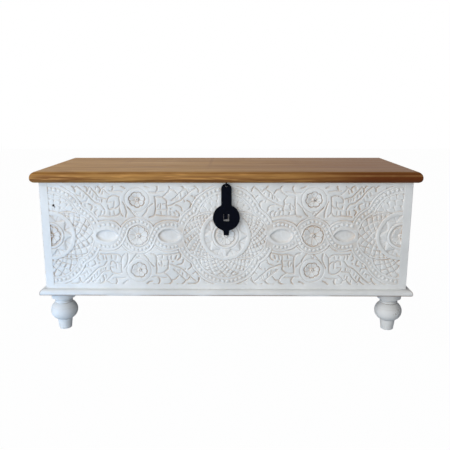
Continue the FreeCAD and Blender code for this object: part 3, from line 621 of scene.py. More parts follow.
# petals, dished and notched, round a drilled button
def carveRosette(cx, cz, rosette, hand=1):
    cut, radius, button = petalCut, rosette["radius"], rosette["button"]
    area = around(cx - radius, cx + radius, cz - radius, cz + radius)
    x, z = fieldX[area] - cx, fieldZ[area] - cz
    r = np.hypot(x, z)
    half = math.pi / rosette["petals"]
    turned = (np.arctan2(z, x) + rosette["turn"] * hand) % (2.0 * half)
    fold = np.abs(turned - half) / half  # 0 on a petal's line, 1 between
    notch = rosette["notch"] * np.exp(-(fold / cut["notchWidth"]) ** 2)
    outline = radius * (1.0 - cut["dip"] * fold ** cut["dipPower"] - notch)
    gap = outline + rosette["gap"] - r
    petalWash[area] = np.maximum(petalWash[area], ease(gap + 1.0, 1.2))
    lay(area, cut["gapLevel"], ease(gap, 1.2))
    level = cut["heart"] + cut["rise"] * np.clip(r / outline, 0.0, 1.0) ** cut["risePower"]
    level += cut["lip"] * fold ** 2
    level -= cut["groove"] * np.clip(1.0 - (1.0 - fold) * half * r / cut["grooveHalf"], 0.0, 1.0)
    lay(area, np.clip(level, *cut["limits"]), ease(outline - r, 1.2))
    lay(area, cut["well"], ease(button + cut["wellWidth"] - r, 1.0))
    lay(area, cut["buttonTop"] - cut["buttonFall"] * (r / button) ** 2, ease(button - r, 1.2))
    lay(area, cut["holeLevel"], ease(rosette["hole"] - r, 1.0))


def carveRoundel(sx, sz):
    x, z = roundel["x"] * sx, roundel["z"] * sz + carving["lift"]
    reach = roundel["reach"]
    area = around(x - reach, x + reach, z - reach, z + reach)
    away = np.hypot(fieldX[area] - x, fieldZ[area] - z)
    cutLine(area, away - roundel["outer"] - 0.8, 2.0, 2.2)
    lay(area, crowned(away, *roundel["crown"]), ease(roundel["outer"] - away, 1.3))
    carveRosette(x, z, rosettes["roundel"], sx * sz)


medal = {"topZ": 43.5, "topRadius": 86.5, "sideX": 56.0, "middleX": 51.0, "sideRadius": 74.0,
         "reach": (165.0, 158.0), "band": 26.5, "bandFloor": 3.5, "innerFillet": 1.0, "outerFillet": 1.35,
         "channel": (5.0, 20.5), "ringOut": 77.0, "ringIn": 65.5, "ringCrown": (70.5, 6.4, 4.8, 0.7, 3.0),
         "leaf": 18.0, "leafTop": 4.9, "smallOut": 40.5, "smallIn": 33.5,
         "smallCrown": (36.6, 3.6, 4.9, 0.9, 2.5), "ridge": 4.9}
scales = {"count": 28, "middleCount": 40, "middleRelief": 0.9, "top": 5.0, "tilt": 1.2, "lean": 0.3,
          "swell": 0.6, "swellRun": 6.0, "groove": (2.1, 0.9), "grooveHalf": (2.3, 0.7), "nick": 2.2}
star = {"waist": 44.0, "top": 4.7, "fall": 1.3, "pocketTop": 4.3, "pocketDepth": 3.6, "pocketRun": 22.0,
        "pocketPower": 0.4, "fan": (-0.62, 0.0, 0.62), "fanBack": 6.0, "heart": 0.6}


def lobeX(cx):
    return medal["sideX" if cx else "middleX"]


def fromLobes(x, z, sideX):
    top = np.hypot(x, np.abs(z) - medal["topZ"]) - medal["topRadius"]
    side = np.hypot(np.abs(x) - sideX, z) - medal["sideRadius"]
    return top, side


# rows of overlapping leaves that fill the upper lobe above the star's ring
def lobeLeaves(x, z):
    row = (np.hypot(x, z) - medal["ringOut"]) / medal["leaf"]
    order = np.floor(row)
    place = np.arctan2(z, x) * (medal["ringOut"] / medal["leaf"] + order) + 0.5 * (order % 2)
    edge = np.abs(place % 1.0 - 0.5) * 2.0  # 0 on a leaf's middle, 1 between two leaves
    along = row - order
    tip = ease(along - 1.0 + 0.5 * edge ** 2, 0.25)
    return medal["leafTop"] - 1.4 * (1.0 - along) - 1.8 * tip - 1.5 * ease(edge - 0.8, 0.2) * ease(along, 0.3)


def bandLevel(out):
    inner = ease(out + 0.6, 1.2) * ease(4.4 - out, 1.6)
    outer = ease(out - medal["band"] + 5.4, 1.6)
    return medal["bandFloor"] + np.maximum(medal["innerFillet"] * inner, medal["outerFillet"] * outer)


# overlapping scales in two crossing spirals, each leaning and cut a little differently
def scaleLevel(cx, x, z, r, theta):
    turn = scales["count" if cx else "middleCount"] / (2.0 * math.pi)
    relief = 1.0 if cx else scales["middleRelief"]
    climb = np.log(r / medal["ringOut"])
    sway = 0.06 * np.sin(x / 9.0 + 1.7 * np.sin(z / 17.0)) + 0.05 * np.sin(z / 7.0 + cx)
    first, second = turn * (theta + climb) + sway, turn * (theta - climb) - sway
    u, v = first % 1.0, second % 1.0
    line = np.minimum(np.minimum(u, 1.0 - u), np.minimum(v, 1.0 - v)) * r / turn / math.sqrt(2.0)
    lean = np.sin(12.9 * np.floor(first) + 78.2 * np.floor(second) + cx)
    deep, half = (start + more * lean for start, more in (scales["groove"], scales["grooveHalf"]))
    level = scales["top"] - relief * scales["tilt"] * (1.0 - u + v) + scales["lean"] * lean
    level += scales["swell"] * ease(line, scales["swellRun"])
    level -= relief * deep * np.clip(1.0 - line / half, 0.0, 1.0)
    nick = ease(u - 0.72, 0.14) * ease(0.42 + 0.1 * lean - v, 0.14) * (lean > -0.3)
    return level - scales["nick"] * nick


# eight points inside a ring, with a veined pocket between each two
def carveStar(area, r, theta):
    ringOut, ringIn, waist, eighth = medal["ringOut"], medal["ringIn"], star["waist"], math.pi / 8.0
    inRing = ease(ringIn - r, 1.2)
    cutLine(area, r - ringOut - 0.6, 1.7, 1.9)
    lay(area, crowned(r, *medal["ringCrown"]), ease(ringOut - r, 1.4))
    fold = np.abs((theta + eighth) % (2.0 * eighth) - eighth)
    along, across = r * np.cos(fold), r * np.sin(fold)
    waistX, waistZ = waist * math.cos(eighth), waist * math.sin(eighth)
    tip = ringIn + 0.5
    within = ((tip - along) * waistZ - across * (tip - waistX)) / math.hypot(tip - waistX, waistZ)
    wide = np.maximum((tip - along) * waistZ / (tip - waistX), 2.0)
    lay(area, star["top"] - star["fall"] * np.clip(across / wide, 0.0, 1.0), inRing)
    pocket = np.clip((ringIn - r) / star["pocketRun"], 0.0, 1.0) ** star["pocketPower"] * ease(-within, 1.4)
    lay(area, star["pocketTop"] - star["pocketDepth"] * pocket, ease(-within + 0.4, 0.8) * inRing)
    cutLine(area, within, 1.3, 1.5, inRing * ease(r - medal["smallOut"], 1.2))
    fan = theta % (2.0 * eighth) - eighth
    sideways, forward = r * np.sin(fan), r * np.cos(fan) - waist + star["fanBack"]
    for tilt in star["fan"]:
        vein = sideways * math.cos(tilt) - forward * math.sin(tilt)
        cutLine(area, vein, 1.5, 1.5, ease(-within - 1.2, 1.2) * ease(ringIn - 1.5 - r, 1.2))
    cutLine(area, r - medal["smallOut"] - 0.8, 1.8, 2.0)
    lay(area, crowned(r, *medal["smallCrown"]), ease(medal["smallOut"] - r, 1.3))
    lay(area, star["heart"], ease(medal["smallIn"] - r, 1.3))


def carveMedallion(cx):
    wide, tall = medal["reach"]
    area = around(cx - wide, cx + wide, -tall, tall)
    x, z = fieldX[area] - cx, fieldZ[area]
    r, theta = np.hypot(x, z) + 1e-6, np.arctan2(z, x)
    top, side = fromLobes(x, z, lobeX(cx))
    out = np.minimum(top, side)
    cutLine(area, out - medal["band"] - 1.4, 2.1, 2.1)
    lay(area, bandLevel(out), ease(medal["band"] + 0.8 - out, 1.4))
    channelLow, channelHigh = medal["channel"]
    channel = ease(out - channelLow, 1.5) * ease(channelHigh - out, 1.5)
    channelWash[area] = np.maximum(channelWash[area], channel)
    lay(area, scaleLevel(cx, x, z, r, theta), ease(-out, 1.0))
    lay(area, lobeLeaves(x, z), ease(-top, 1.0) * ease(side, 1.0) * (z > 0))
    inLobe = ease(1.0 - top, 1.5)
    lay(area, medal["ridge"], ease(side + 5.4, 1.2) * ease(0.2 - side, 1.2) * inLobe)
    cutLine(area, side - 0.6, 1.7, 2.0, inLobe)
    cutLine(area, side + 5.8, 1.5, 1.6, inLobe)
    cutLine(area, out + 0.3, 1.7, 1.3)
    carveStar(area, r, theta)
    carveRosette(cx, 0.0, rosettes["medal"])


braid = {"path": [(-407, 16), (-393, 27), (-357, 35.5), (-331, 27), (-312, 0), (-297, -31), (-265, -45),
                  (-233, -31), (-218, 0), (-201, 26), (-169, 36), (-139, 28), (-125, 16)],
         "box": (-412.0, -118.0, -62.0, 62.0), "half": 12.5, "channel": 7.8, "floor": 3.5,
         "fillets": (1.5, 0.9), "rosetteX": -265.0, "wellRadius": 40.0, "well": 1.0, "eyeTop": 4.5,
         "eyeClear": 46.0, "dishTop": 4.6, "dishes": [(-358.0, 33.5, 18.5), (-169.0, 34.5, 21.5)],
         "dishEnds": [(2.3, 0.54), (2.0, 0.74)], "dishDepth": 6.6, "dishRun": 12.0, "dishPower": 3.4}


# a hollow oval, blunt at one end and pointed at the other
def carveDish(area, x, z, middle, halfLength, halfHeight):
    def rim(t):
        t = np.clip(t, -1.0, 1.0)
        blunt, sharp = (np.clip(1.0 - np.abs(t) ** bow, 0.0, 1.0) ** end for bow, end in braid["dishEnds"])
        return halfHeight * np.where(t < 0, blunt, sharp)
    t = (x - middle) / halfLength
    lean = (rim(t + 0.02) - rim(t - 0.02)) / (0.04 * halfLength)
    inside = (rim(t) - np.abs(z)) / np.sqrt(1.0 + lean * lean)
    hollow = 1.0 - (1.0 - np.clip(inside / braid["dishRun"], 0.0, 1.0)) ** braid["dishPower"]
    lay(area, braid["dishTop"] - braid["dishDepth"] * hollow, ease(inside + 0.5, 0.8) * (np.abs(t) < 1.0))
    cleanPaint[area] = np.maximum(cleanPaint[area], ease(inside + 1.5, 1.0) * ease(t + 0.75, 0.7))


def carveBraid(sx):
    half, rosetteX = braid["half"], braid["rosetteX"]
    area = around(*braid["box"], sx)
    x, z = fieldX[area] * sx, fieldZ[area]
    upper = curveThrough(braid["path"], 3.0)
    lower = upper * np.array([1.0, -1.0])
    toMedal = np.minimum.reduce(fromLobes(x + carving["half"], z, lobeX(1)) + fromLobes(x, z, lobeX(0)))
    room = np.interp(x, upper[:, 0], np.abs(upper[:, 1]))
    beside = np.clip(np.abs(x - rosetteX) - braid["eyeClear"], 0.0, 1.0)
    eye = ease(room - np.abs(z), 1.5) * beside * ease(toMedal - 3.6, 1.0)
    lay(area, braid["eyeTop"], eye)
    channelWash[area] *= 1.0 - eye
    r = np.hypot(x - rosetteX, z)
    lay(area, braid["well"], ease(braid["wellRadius"] - r, 1.5))
    over, under = (alongPath(upper, x, z), 1.0), (alongPath(lower, x, z), -1.0)
    outside = np.abs(z) > room
    for (off, *_), _ in (over, under):
        cutLine(area, off - half - 1.2, 2.3, 2.3, ease(toMedal - 27.0, 1.0) * outside)
    fillet = np.where(outside | (r < 47.0), *braid["fillets"])
    for (off, side, _, _), up, part in ((*over, x < 0), (*under, x < 0), (*over, x > rosetteX)):
        inBand = (toMedal < medal["channel"][1]) & (side * up > 0) & (off > 6.5)
        cover = np.where(inBand, 0.0, ease(half - off, 1.5) * ease(toMedal - 3.4, 1.0) * part)
        lay(area, braid["floor"] + fillet * ease(off - 7.6, 1.5), cover)
        channelWash[area] = np.where(cover > 0.5, ease(braid["channel"] - off, 1.5), channelWash[area])
    for dish in braid["dishes"]:
        carveDish(area, x, z, *dish)
    carveRosette(rosetteX * sx, 0.0, rosettes["braid"])


for sx in (1, -1):
    for sz in (1, -1):
        carveLeaves(sx, sz)
        carveRoundel(sx, sz)
for cx in medalPlaces:
    carveMedallion(cx)
for sx in (1, -1):
    carveBraid(sx)
height = np.clip(height + carving["toolMarks"] * waver(9, 7.0, 22.0), carving["deepest"], carving["depth"])
lay((slice(None), slice(None)), carving["depth"], ease(np.abs(gridZ) - carving["border"], 1.4))
height = 0.6 * height + 0.4 * softened(height, 1)  # thick paint rounds the cut edges
print("carving:", height.shape, "points, mean height", round(float(height.mean()), 2), "mm")

# antique wash lies where the surface is lower than what is round it, and between the beads; steep walls take
# a share of the same tone as painted shade
washAndShadeLevels = {"even": 0.62, "uneven": 0.30, "least": 0.25, "fine": 0.50, "plain": 0.48, "petals": 0.52,
           "broad": 2.5, "broadShare": 0.35, "steepFrom": 0.45, "steepRun": 0.9, "steepShare": 0.30,
           "channels": 0.36, "clean": 0.85, "upperBand": (0.20, 48.0, 26.0), "haze": (0.08, 15.0, 55.0)}
chipSpots = [(-515, 93, 4.0), (-511, 88, 2.6), (-513, 82, 1.8), (266, 109, 2.4), (243, 128, 1.6),
             (300, 126, 1.5), (336, 121, 1.6), (262, 129, 1.5), (273, 117, 1.4), (245, 119, 1.5),
             (278, 105, 1.4)]


def washBand(share, middle, reach):
    return share * np.exp(-((gridZ - middle) / reach) ** 2)


uneven = np.clip(washAndShadeLevels["even"] + washAndShadeLevels["uneven"] * waver(9, 30.0, 110.0), washAndShadeLevels["least"], 1.0)
washAndShadeTone = np.clip((softened(height, 1) - height) / washAndShadeLevels["fine"], 0.0, 1.0) * uneven
washAndShadeTone *= washAndShadeLevels["plain"] + washAndShadeLevels["petals"] * petalWash
washAndShadeTone += np.clip((softened(height, 5) - height) / washAndShadeLevels["broad"], 0.0, 1.0) * washAndShadeLevels["broadShare"]
slopeZ, slopeX = np.gradient(height, rows, columns)
# painted shade: the steeper a carved wall, the more of the wash tone it takes
steep = np.clip((np.hypot(slopeX, slopeZ) - washAndShadeLevels["steepFrom"]) / washAndShadeLevels["steepRun"], 0.0, 1.0)
washAndShadeTone = np.maximum(washAndShadeTone + washAndShadeLevels["steepShare"] * steep, washAndShadeLevels["channels"] * channelWash * uneven)
washAndShadeTone *= 1.0 - washAndShadeLevels["clean"] * cleanPaint
washAndShadeTone += uneven * washBand(*washAndShadeLevels["upperBand"]) + washBand(*washAndShadeLevels["haze"])
washAndShadeTone = np.clip(washAndShadeTone, 0.0, 1.0)
chipTone = np.zeros_like(height)
for x, z, size in chipSpots:
    chipTone = np.maximum(chipTone, ease(size - np.hypot(fieldX - x, (fieldZ - z) * 0.8), 1.5))
faceNormal = np.stack([-slopeX, -np.ones_like(height), -slopeZ], -1)
faceNormal /= np.linalg.norm(faceNormal, axis=-1, keepdims=True)


def setTone(mesh, name, values):
    mesh.attributes.new(name, "FLOAT", "POINT").data.foreach_set("value", values.astype(np.float32))


def boardTile(name, first, last):
    part = (slice(None), slice(first, last + 1))
    tall, wide = gridX[part].shape
    count = tall * wide
    y = carving["face"] + carving["depth"] - height[part]
    front = np.stack([gridX[part], y, gridZ[part] + carving["middle"]], -1).reshape(-1, 3) / 1000.0
    index = np.arange(count).reshape(tall, wide)
    rim = np.concatenate([index[0, :-1], index[:-1, -1], index[-1, :0:-1], index[:0:-1, 0]])
    backing = front[rim].copy()
    backing[:, 1] = carving["back"] / 1000.0
    behind = np.arange(len(rim)) + count
    quads = np.stack([index[:-1, :-1], index[:-1, 1:], index[1:, 1:], index[1:, :-1]], -1).reshape(-1, 4)
    walls = np.stack([rim, behind, np.roll(behind, -1), np.roll(rim, -1)], -1)
    points = np.concatenate([front, backing])
    mesh = bpy.data.meshes.new(name)
    mesh.from_pydata(points.tolist(), [], np.concatenate([quads, walls]).tolist() + [behind[::-1].tolist()])
    mesh.materials.append(carvedPaint)
    mesh.materials.append(bareLong)
    mesh.polygons[-1].material_index = 1
    mesh.shade_smooth()
    ends = np.zeros(len(mesh.edges) * 2, np.int32)
    mesh.edges.foreach_get("vertices", ends)
    onRim = np.zeros(len(points), bool)
    onRim[rim] = True
    onRim[count:] = True
    sharp = onRim[ends.reshape(-1, 2)].all(1)
    mesh.attributes.new("sharp_edge", "BOOLEAN", "EDGE").data.foreach_set("value", sharp)
    spare = np.zeros(len(rim))
    setTone(mesh, "washAndShade", np.concatenate([washAndShadeTone[part].ravel(), spare]))
    setTone(mesh, "chip", np.concatenate([chipTone[part].ravel(), spare]))
    # the shading runs on across the joint between two tiles
    normals = np.zeros((len(mesh.loops), 3), np.float32)
    corners = quads.ravel()
    normals[:len(corners)] = faceNormal[part].reshape(-1, 3)[corners]
    mesh.normals_split_custom_set(normals)
    return addPiece(name, mesh)


cuts = [len(columns) * part // 4 for part in range(4)] + [len(columns) - 1]
tileNames = ("carvedFrontLeft", "carvedFrontMidLeft", "carvedFrontMidRight", "carvedFrontRight")
for name, first, last in zip(tileNames, cuts, cuts[1:]):
    tile = boardTile(name, first, last)
    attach(tile, "chest")
    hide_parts("front_panel")
    print("front board:", name, len(tile.data.polygons), "faces")

# beads stand in rows along the channels
ringBeads = {"Pitch": 0.0128, "Bead Radius": 0.0056, "Flatness": 0.38, "Size Spread": 0.10, "Seed": 5,
             "floor": 3.3, "topArc": (86.0, 24.0), "sideArc": (61.0, 27.0)}
braidBeads = {"Pitch": 0.0119, "Bead Radius": 0.0053, "Flatness": 0.42, "Size Spread": 0.10, "Seed": 9,
              "floor": 3.3, "upperRuns": [(-381, -326), (-301, -147)],
              "lowerRuns": [(-381, -231), (-205, -147)]}
beadForm = {"segments": 10, "rings": 6, "rimDepth": -0.18, "rimWash": 0.8}


def formNode(tree, kind, inputs, **settings):
    return addNode(tree, "GeometryNode" + kind, inputs, **settings).outputs[0]


def endTree(tree, instances, finish, result):
    smooth = formNode(tree, "SetShadeSmooth", {0: formNode(tree, "RealizeInstances", {0: instances})})
    tree.links.new(formNode(tree, "SetMaterial", {"Geometry": smooth, "Material": finish}), result)


def ownPlace(tree):
    return parted(tree, formNode(tree, "InputPosition", {}))


def makeBeadTree():
    tree, given, made = nodeGroup(
        "beadRow", "GeometryNodeTree",
        {"Paths": "NodeSocketGeometry", "Pitch": 0.013, "Bead Radius": 0.0045, "Flatness": 0.8,
         "Size Spread": 0.1, "Seed": 1, "Finish": "NodeSocketMaterial"}, ["Beads"], "NodeSocketGeometry")
    radius = given["Bead Radius"]
    curve = formNode(tree, "MeshToCurve", {"Mesh": given["Paths"]})
    spaced = formNode(tree, "ResampleCurve", {"Curve": curve, "Length": given["Pitch"]}, mode="LENGTH")
    spots = formNode(tree, "CurveToPoints", {"Curve": spaced}, mode="EVALUATED")
    ball = formNode(tree, "MeshUVSphere", {"Segments": beadForm["segments"], "Rings": beadForm["rings"],
                                           "Radius": radius})
    flat = formNode(tree, "Transform", {"Geometry": ball, "Scale": joined(tree, 1.0, given["Flatness"], 1.0)})
    rim = addNode(tree, "ShaderNodeMapRange", {
        "Value": ownPlace(tree)[1], "From Min": times(tree, radius, beadForm["rimDepth"]), "From Max": 0.0,
        "To Min": 0.0, "To Max": beadForm["rimWash"]}).outputs[0]
    toned = formNode(tree, "StoreNamedAttribute", {"Geometry": flat, "Name": "washAndShade", "Value": rim})
    low, high = (reckon(tree, way, 1.0, given["Size Spread"]) for way in ("SUBTRACT", "ADD"))
    size = addNode(tree, "FunctionNodeRandomValue", {2: low, 3: high, 8: given["Seed"]}, data_type="FLOAT")
    placed = formNode(tree, "InstanceOnPoints", {"Points": spots, "Scale": size.outputs[1],
                                                 "Instance": toned})
    endTree(tree, placed, given["Finish"], made["Beads"])
    return tree


def runTree(name, tree, mesh, values):
    piece = addPiece(name, mesh)
    modifier = piece.modifiers.new(tree.name, "NODES")
    modifier.node_group = tree
    for item in tree.interface.items_tree:
        if item.in_out == "INPUT" and item.name in values:
            modifier[item.identifier] = values[item.name]
    bpy.context.view_layer.update()
    settle(piece)
    return piece


def pathMesh(name, paths):
    points, edges = [], []
    for path in paths:
        start = len(points)
        points += [tuple(point) for point in path]
        edges += [(start + i, start + i + 1) for i in range(len(path) - 1)]
    mesh = bpy.data.meshes.new(name)
    mesh.from_pydata(points, edges, [])
    return mesh


def arcPoints(cx, cz, radius, start, end):
    turns = np.radians(np.linspace(start, end, max(8, int(abs(end - start) / 3))))
    return np.stack([cx + radius * np.cos(turns), cz + radius * np.sin(turns)], 1)


def ringBeadPaths():
    mid = medal["band"] / 2.0
    made = []
    for cx in medalPlaces:
        for sx in (1, -1):
            if abs(cx + sx) > carving["half"]:  # the posts cut the outer medallions in half
                continue
            for sz in (1, -1):
                for arc in (arcPoints(0, medal["topZ"], medal["topRadius"] + mid, *ringBeads["topArc"]),
                            arcPoints(lobeX(cx), 0, medal["sideRadius"] + mid, *ringBeads["sideArc"])):
                    made.append(arc * (sx, sz) + (cx, 0.0))
    return made


def braidBeadPaths():
    made = []
    path = curveThrough(braid["path"], 1.5)
    for sx in (1, -1):
        for sz, runs in ((1, braidBeads["upperRuns"]), (-1, braidBeads["lowerRuns"])):
            for low, high in runs:
                made.append(path[(path[:, 0] > low) & (path[:, 0] < high)] * (sx, sz))
    return made


def onBoard(path, level):
    y = carving["face"] + carving["depth"] - level
    return [(x / 1000.0, y / 1000.0, (z + carving["middle"]) / 1000.0) for x, z in path]


beadTree = makeBeadTree()
ballFaces = beadForm["segments"] * beadForm["rings"]
for name, values, paths in (("ringBeads", ringBeads, ringBeadPaths()),
                            ("braidBeads", braidBeads, braidBeadPaths())):
    lines = pathMesh(name + "Paths", [onBoard(path, values["floor"]) for path in paths])
    beadRow = runTree(name, beadTree, lines, {**values, "Finish": carvedPaint})
    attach(beadRow, "chest")
    print("beads:", name, len(beadRow.data.polygons) // ballFaces)

# turned feet, each spun from one profile
feet = {"Segments": 56, "Rows": 150, "Half Width": 0.516, "Half Depth": 0.166}
footProfile = {"height": 126.0, "soleRadius": 19.5, "soleRound": 3.0, "ankleRadius": 23.5,
               "ankleHeight": 34.0, "ballRadius": 42.0, "ballHeight": 55.0, "beadRadius": 27.5,
               "beadHeight": 6.0, "neckRadius": 24.5, "coveOut": 0.22, "coveUp": 0.6, "capRadius": 37.0,
               "capHeight": 22.0, "capEase": 1.0, "capLip": 1.2}


# an arc through three points, as numbers in the complex plane
def arcThrough(first, middle, last, count):
    a, b, c = (complex(*point) for point in (first, middle, last))
    w = (c - a) / (b - a)
    centre = a + (b - a) * (w - abs(w) ** 2) / (2j * w.imag)
    mid, sweep = (np.angle((point - centre) / (a - centre)) % (2.0 * math.pi) for point in (b, c))
    if mid > sweep:
        sweep -= 2.0 * math.pi
    made = centre + (a - centre) * np.exp(1j * np.linspace(0.0, sweep, count + 1))
    return list(zip(made.real, made.imag))


def footOutline():
    p = footProfile
    sole, ankle, neck, cap = (p[part + "Radius"] for part in ("sole", "ankle", "neck", "cap"))
    top = p["height"]
    ballTop = p["ankleHeight"] + p["ballHeight"]
    beadTop = ballTop + p["beadHeight"]
    capLow = top - p["capHeight"]
    edge = p["soleRound"]
    bend = edge * (1.0 - math.sqrt(0.5))
    cove = (neck + p["coveOut"] * (cap - neck), beadTop + p["coveUp"] * (capLow - beadTop))
    line = [(0.0, 0.0)]
    line += arcThrough((sole - edge, 0.0), (sole - bend, bend), (sole, edge), 4)
    line += arcThrough((ankle, p["ankleHeight"]), (p["ballRadius"], (p["ankleHeight"] + ballTop) / 2.0),
                       (neck, ballTop), 24)
    line += arcThrough((neck, ballTop), (p["beadRadius"], (ballTop + beadTop) / 2.0), (neck, beadTop), 8)[1:]
    line += arcThrough((neck, beadTop), cove, (cap - p["capEase"], capLow), 8)[1:]
    line += [(cap, capLow + p["capLip"]), (cap, top - p["capEase"]), (cap - p["capEase"], top), (0.0, top)]
    return [(r / 1000.0, 0.0, z / 1000.0) for r, z in line]


def makeLatheTree():
    tree, given, made = nodeGroup(
        "footLathe", "GeometryNodeTree",
        {"Profile": "NodeSocketGeometry", "Segments": 48, "Rows": 120, "Half Width": 0.5, "Half Depth": 0.16,
         "Finish": "NodeSocketMaterial"}, ["Feet"], "NodeSocketGeometry")
    curve = formNode(tree, "MeshToCurve", {"Mesh": given["Profile"]})
    across = reckon(tree, "ADD", given["Segments"], 1.0)
    sheet = formNode(tree, "MeshGrid", {"Size X": 1.0, "Size Y": 1.0, "Vertices X": across,
                                        "Vertices Y": given["Rows"]})
    place = ownPlace(tree)
    turn = times(tree, reckon(tree, "ADD", place[0], 0.5), 2.0 * math.pi)
    along = reckon(tree, "ADD", place[1], 0.5)
    spot = addNode(tree, "GeometryNodeSampleCurve", {"Curves": curve, "Factor": along}, mode="FACTOR",
                   use_all_curves=True)
    line = parted(tree, spot.outputs["Position"])
    swept = [times(tree, line[0], reckon(tree, way, turn)) for way in ("COSINE", "SINE")]
    spun = joined(tree, *swept, line[2])
    shaped = formNode(tree, "SetPosition", {"Geometry": sheet, "Position": spun})
    closed = formNode(tree, "MergeByDistance", {"Geometry": shaped, "Distance": 0.00002})
    sizes = [times(tree, given[side], 2.0) for side in ("Half Width", "Half Depth")]
    corners = formNode(tree, "MeshGrid", {"Size X": sizes[0], "Size Y": sizes[1], "Vertices X": 2,
                                          "Vertices Y": 2})
    placed = formNode(tree, "InstanceOnPoints", {"Points": corners, "Instance": closed})
    endTree(tree, placed, given["Finish"], made["Feet"])
    return tree


turnedFeet = runTree("turnedFeet", makeLatheTree(), pathMesh("footProfile", [footOutline()]),
                     {**feet, "Finish": footPaint})
form = bmesh.new()
form.from_mesh(turnedFeet.data)
bmesh.ops.recalc_face_normals(form, faces=form.faces)
form.to_mesh(turnedFeet.data)
form.free()
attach(turnedFeet, "chest")
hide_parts("front_left_foot", "front_right_foot", "back_left_foot", "back_right_foot")
print("feet:", len(turnedFeet.data.polygons), "faces")

# boards and ironwork: merged copies of the CAD nodes with their edges eased
boards = {"edge": 0.0012, "lidEdge": 0.0002, "ironEdge": 0.0006, "bevelAngle": 38.0, "sharpAngle": 32.0,
          "flatAngle": 0.4, "merge": 0.000002, "sideFrom": 0.545, "faceFrom": 0.195, "outward": 0.3,
          "upward": 0.6}


def easedCopy(piece, node, bevel, finishes, choose=None):
    form = bmesh.new()
    form.from_mesh(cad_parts[node].data)
    bmesh.ops.remove_doubles(form, verts=form.verts, dist=boards["merge"])
    flat = math.radians(boards["flatAngle"])
    bmesh.ops.dissolve_limit(form, angle_limit=flat, verts=form.verts, edges=form.edges)
    mesh = bpy.data.meshes.new(piece)
    form.to_mesh(mesh)
    form.free()
    made = addPiece(piece, mesh)
    mesh.materials.clear()
    for finish in finishes:
        mesh.materials.append(finish)
    edge = made.modifiers.new("easedEdge", "BEVEL")
    edge.width = bevel
    edge.segments = 2
    edge.limit_method = "ANGLE"
    edge.angle_limit = math.radians(boards["bevelAngle"])
    mesh = settle(made)
    for face in mesh.polygons:
        face.material_index = choose(face.center, face.normal) if choose else 0
    mesh.shade_smooth()
    mesh.set_sharp_from_angle(angle=math.radians(boards["sharpAngle"]))
    even = made.modifiers.new("evenShading", "WEIGHTED_NORMAL")
    even.keep_sharp = True
    settle(made)
    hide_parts(node)
    return made


# painted where a face looks out of the case, bare where it looks in
def outsideFirst(centre, normal):
    def looksOut(place, facing, start):
        return abs(place) > start and facing * place > boards["outward"] * abs(place)
    outX = looksOut(centre.x, normal.x, boards["sideFrom"])
    outY = looksOut(centre.y, normal.y, boards["faceFrom"])
    return 0 if outX or outY or normal.z > boards["upward"] else 1


bareFor = {"left": bareCross, "right": bareCross, "back": bareLong}
for side in ("left", "right", "back"):
    for i in (1, 2, 3):
        plank = easedCopy(f"{side}Plank{i}", f"{side}_plank_{i}", boards["edge"], (chalkPaint, bareFor[side]),
                          outsideFirst)
        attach(plank, "chest")
for end in ("front", "back"):
    for side in ("left", "right"):
        post = easedCopy(f"{end}{side.title()}Post", f"{end}_{side}_post", boards["edge"],
                         (chalkPaint, bareUpright), outsideFirst)
        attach(post, "chest")
for side in ("front", "back", "left", "right"):
    member = easedCopy(f"{side}Base", f"base_{side}", boards["edge"], (plinthPaint,))
    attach(member, "chest")
for i in (1, 2, 3, 4):
    plank = easedCopy(f"lidPlank{i}", f"lid_plank_{i}", boards["lidEdge"], (lidWood,))
    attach(plank, "lid")
for piece, node, body in (("haspPlate", "hasp_plate", "hasp"), ("lockStaple", "lock_staple", "chest"),
                          ("haspEye", "hasp_eye", "lid")):
    iron = easedCopy(piece, node, boards["ironEdge"], (blackIron,))
    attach(iron, body)

# the rest of the CAD nodes keep their shape and take a finish
keptFinishes = {bareLong: ["floor_board_1", "floor_board_2", "floor_board_3", "lid_splines"],
                bareCross: ["base_crossbar", "lid_batten_1", "lid_batten_2", "lid_batten_3"],
                bareUpright: ["post_dowels"],
                screwSteel: ["case_hinge_screws", "lid_hinge_screws", "batten_screws"],
                hingeIron: [f"{side}_hinge_{part}" for side in ("left", "right")
                            for part in ("case_leaf", "lid_leaf", "pin")],
                blackIron: ["staple_backplate"]}
for finish, names in keptFinishes.items():
    for name in names:
        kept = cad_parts[name]
        kept.data.materials.clear()
        kept.data.materials.append(finish)

# floor, light and camera
stageValues = {"floorSize": 14.0, "floorDrop": 0.0004, "floorRough": 0.9, "white": 0.985,
               "bounce": (0.43, 0.50, 0.58, 1.0), "ambient": 0.10,
               "skyColour": (1.0, 0.985, 0.965, 1.0), "pureWhite": (1.0, 1.0, 1.0, 1.0)}
lamps = {"keyLight": {"place": (-2.55, -2.65, 1.62), "aim": (0.0, 0.0, 0.3), "power": 124.0, "size": 4.0,
                      "colour": (1.0, 0.972, 0.925)},
         "lowLight": {"place": (-0.86, -0.68, 0.07), "aim": (-0.45, -0.2, 0.15), "power": 1.5, "size": 0.3,
                      "colour": (0.12, 0.50, 1.0)},
         "frontLight": {"place": (0.0, -3.0, 0.7), "aim": (0.1, 0.0, 0.3), "power": 16.0, "size": 1.0},
         "topLight": {"place": (-0.5, 0.7, 2.3), "aim": (0.0, 0.0, 0.5), "power": 16.0, "size": 1.8}}


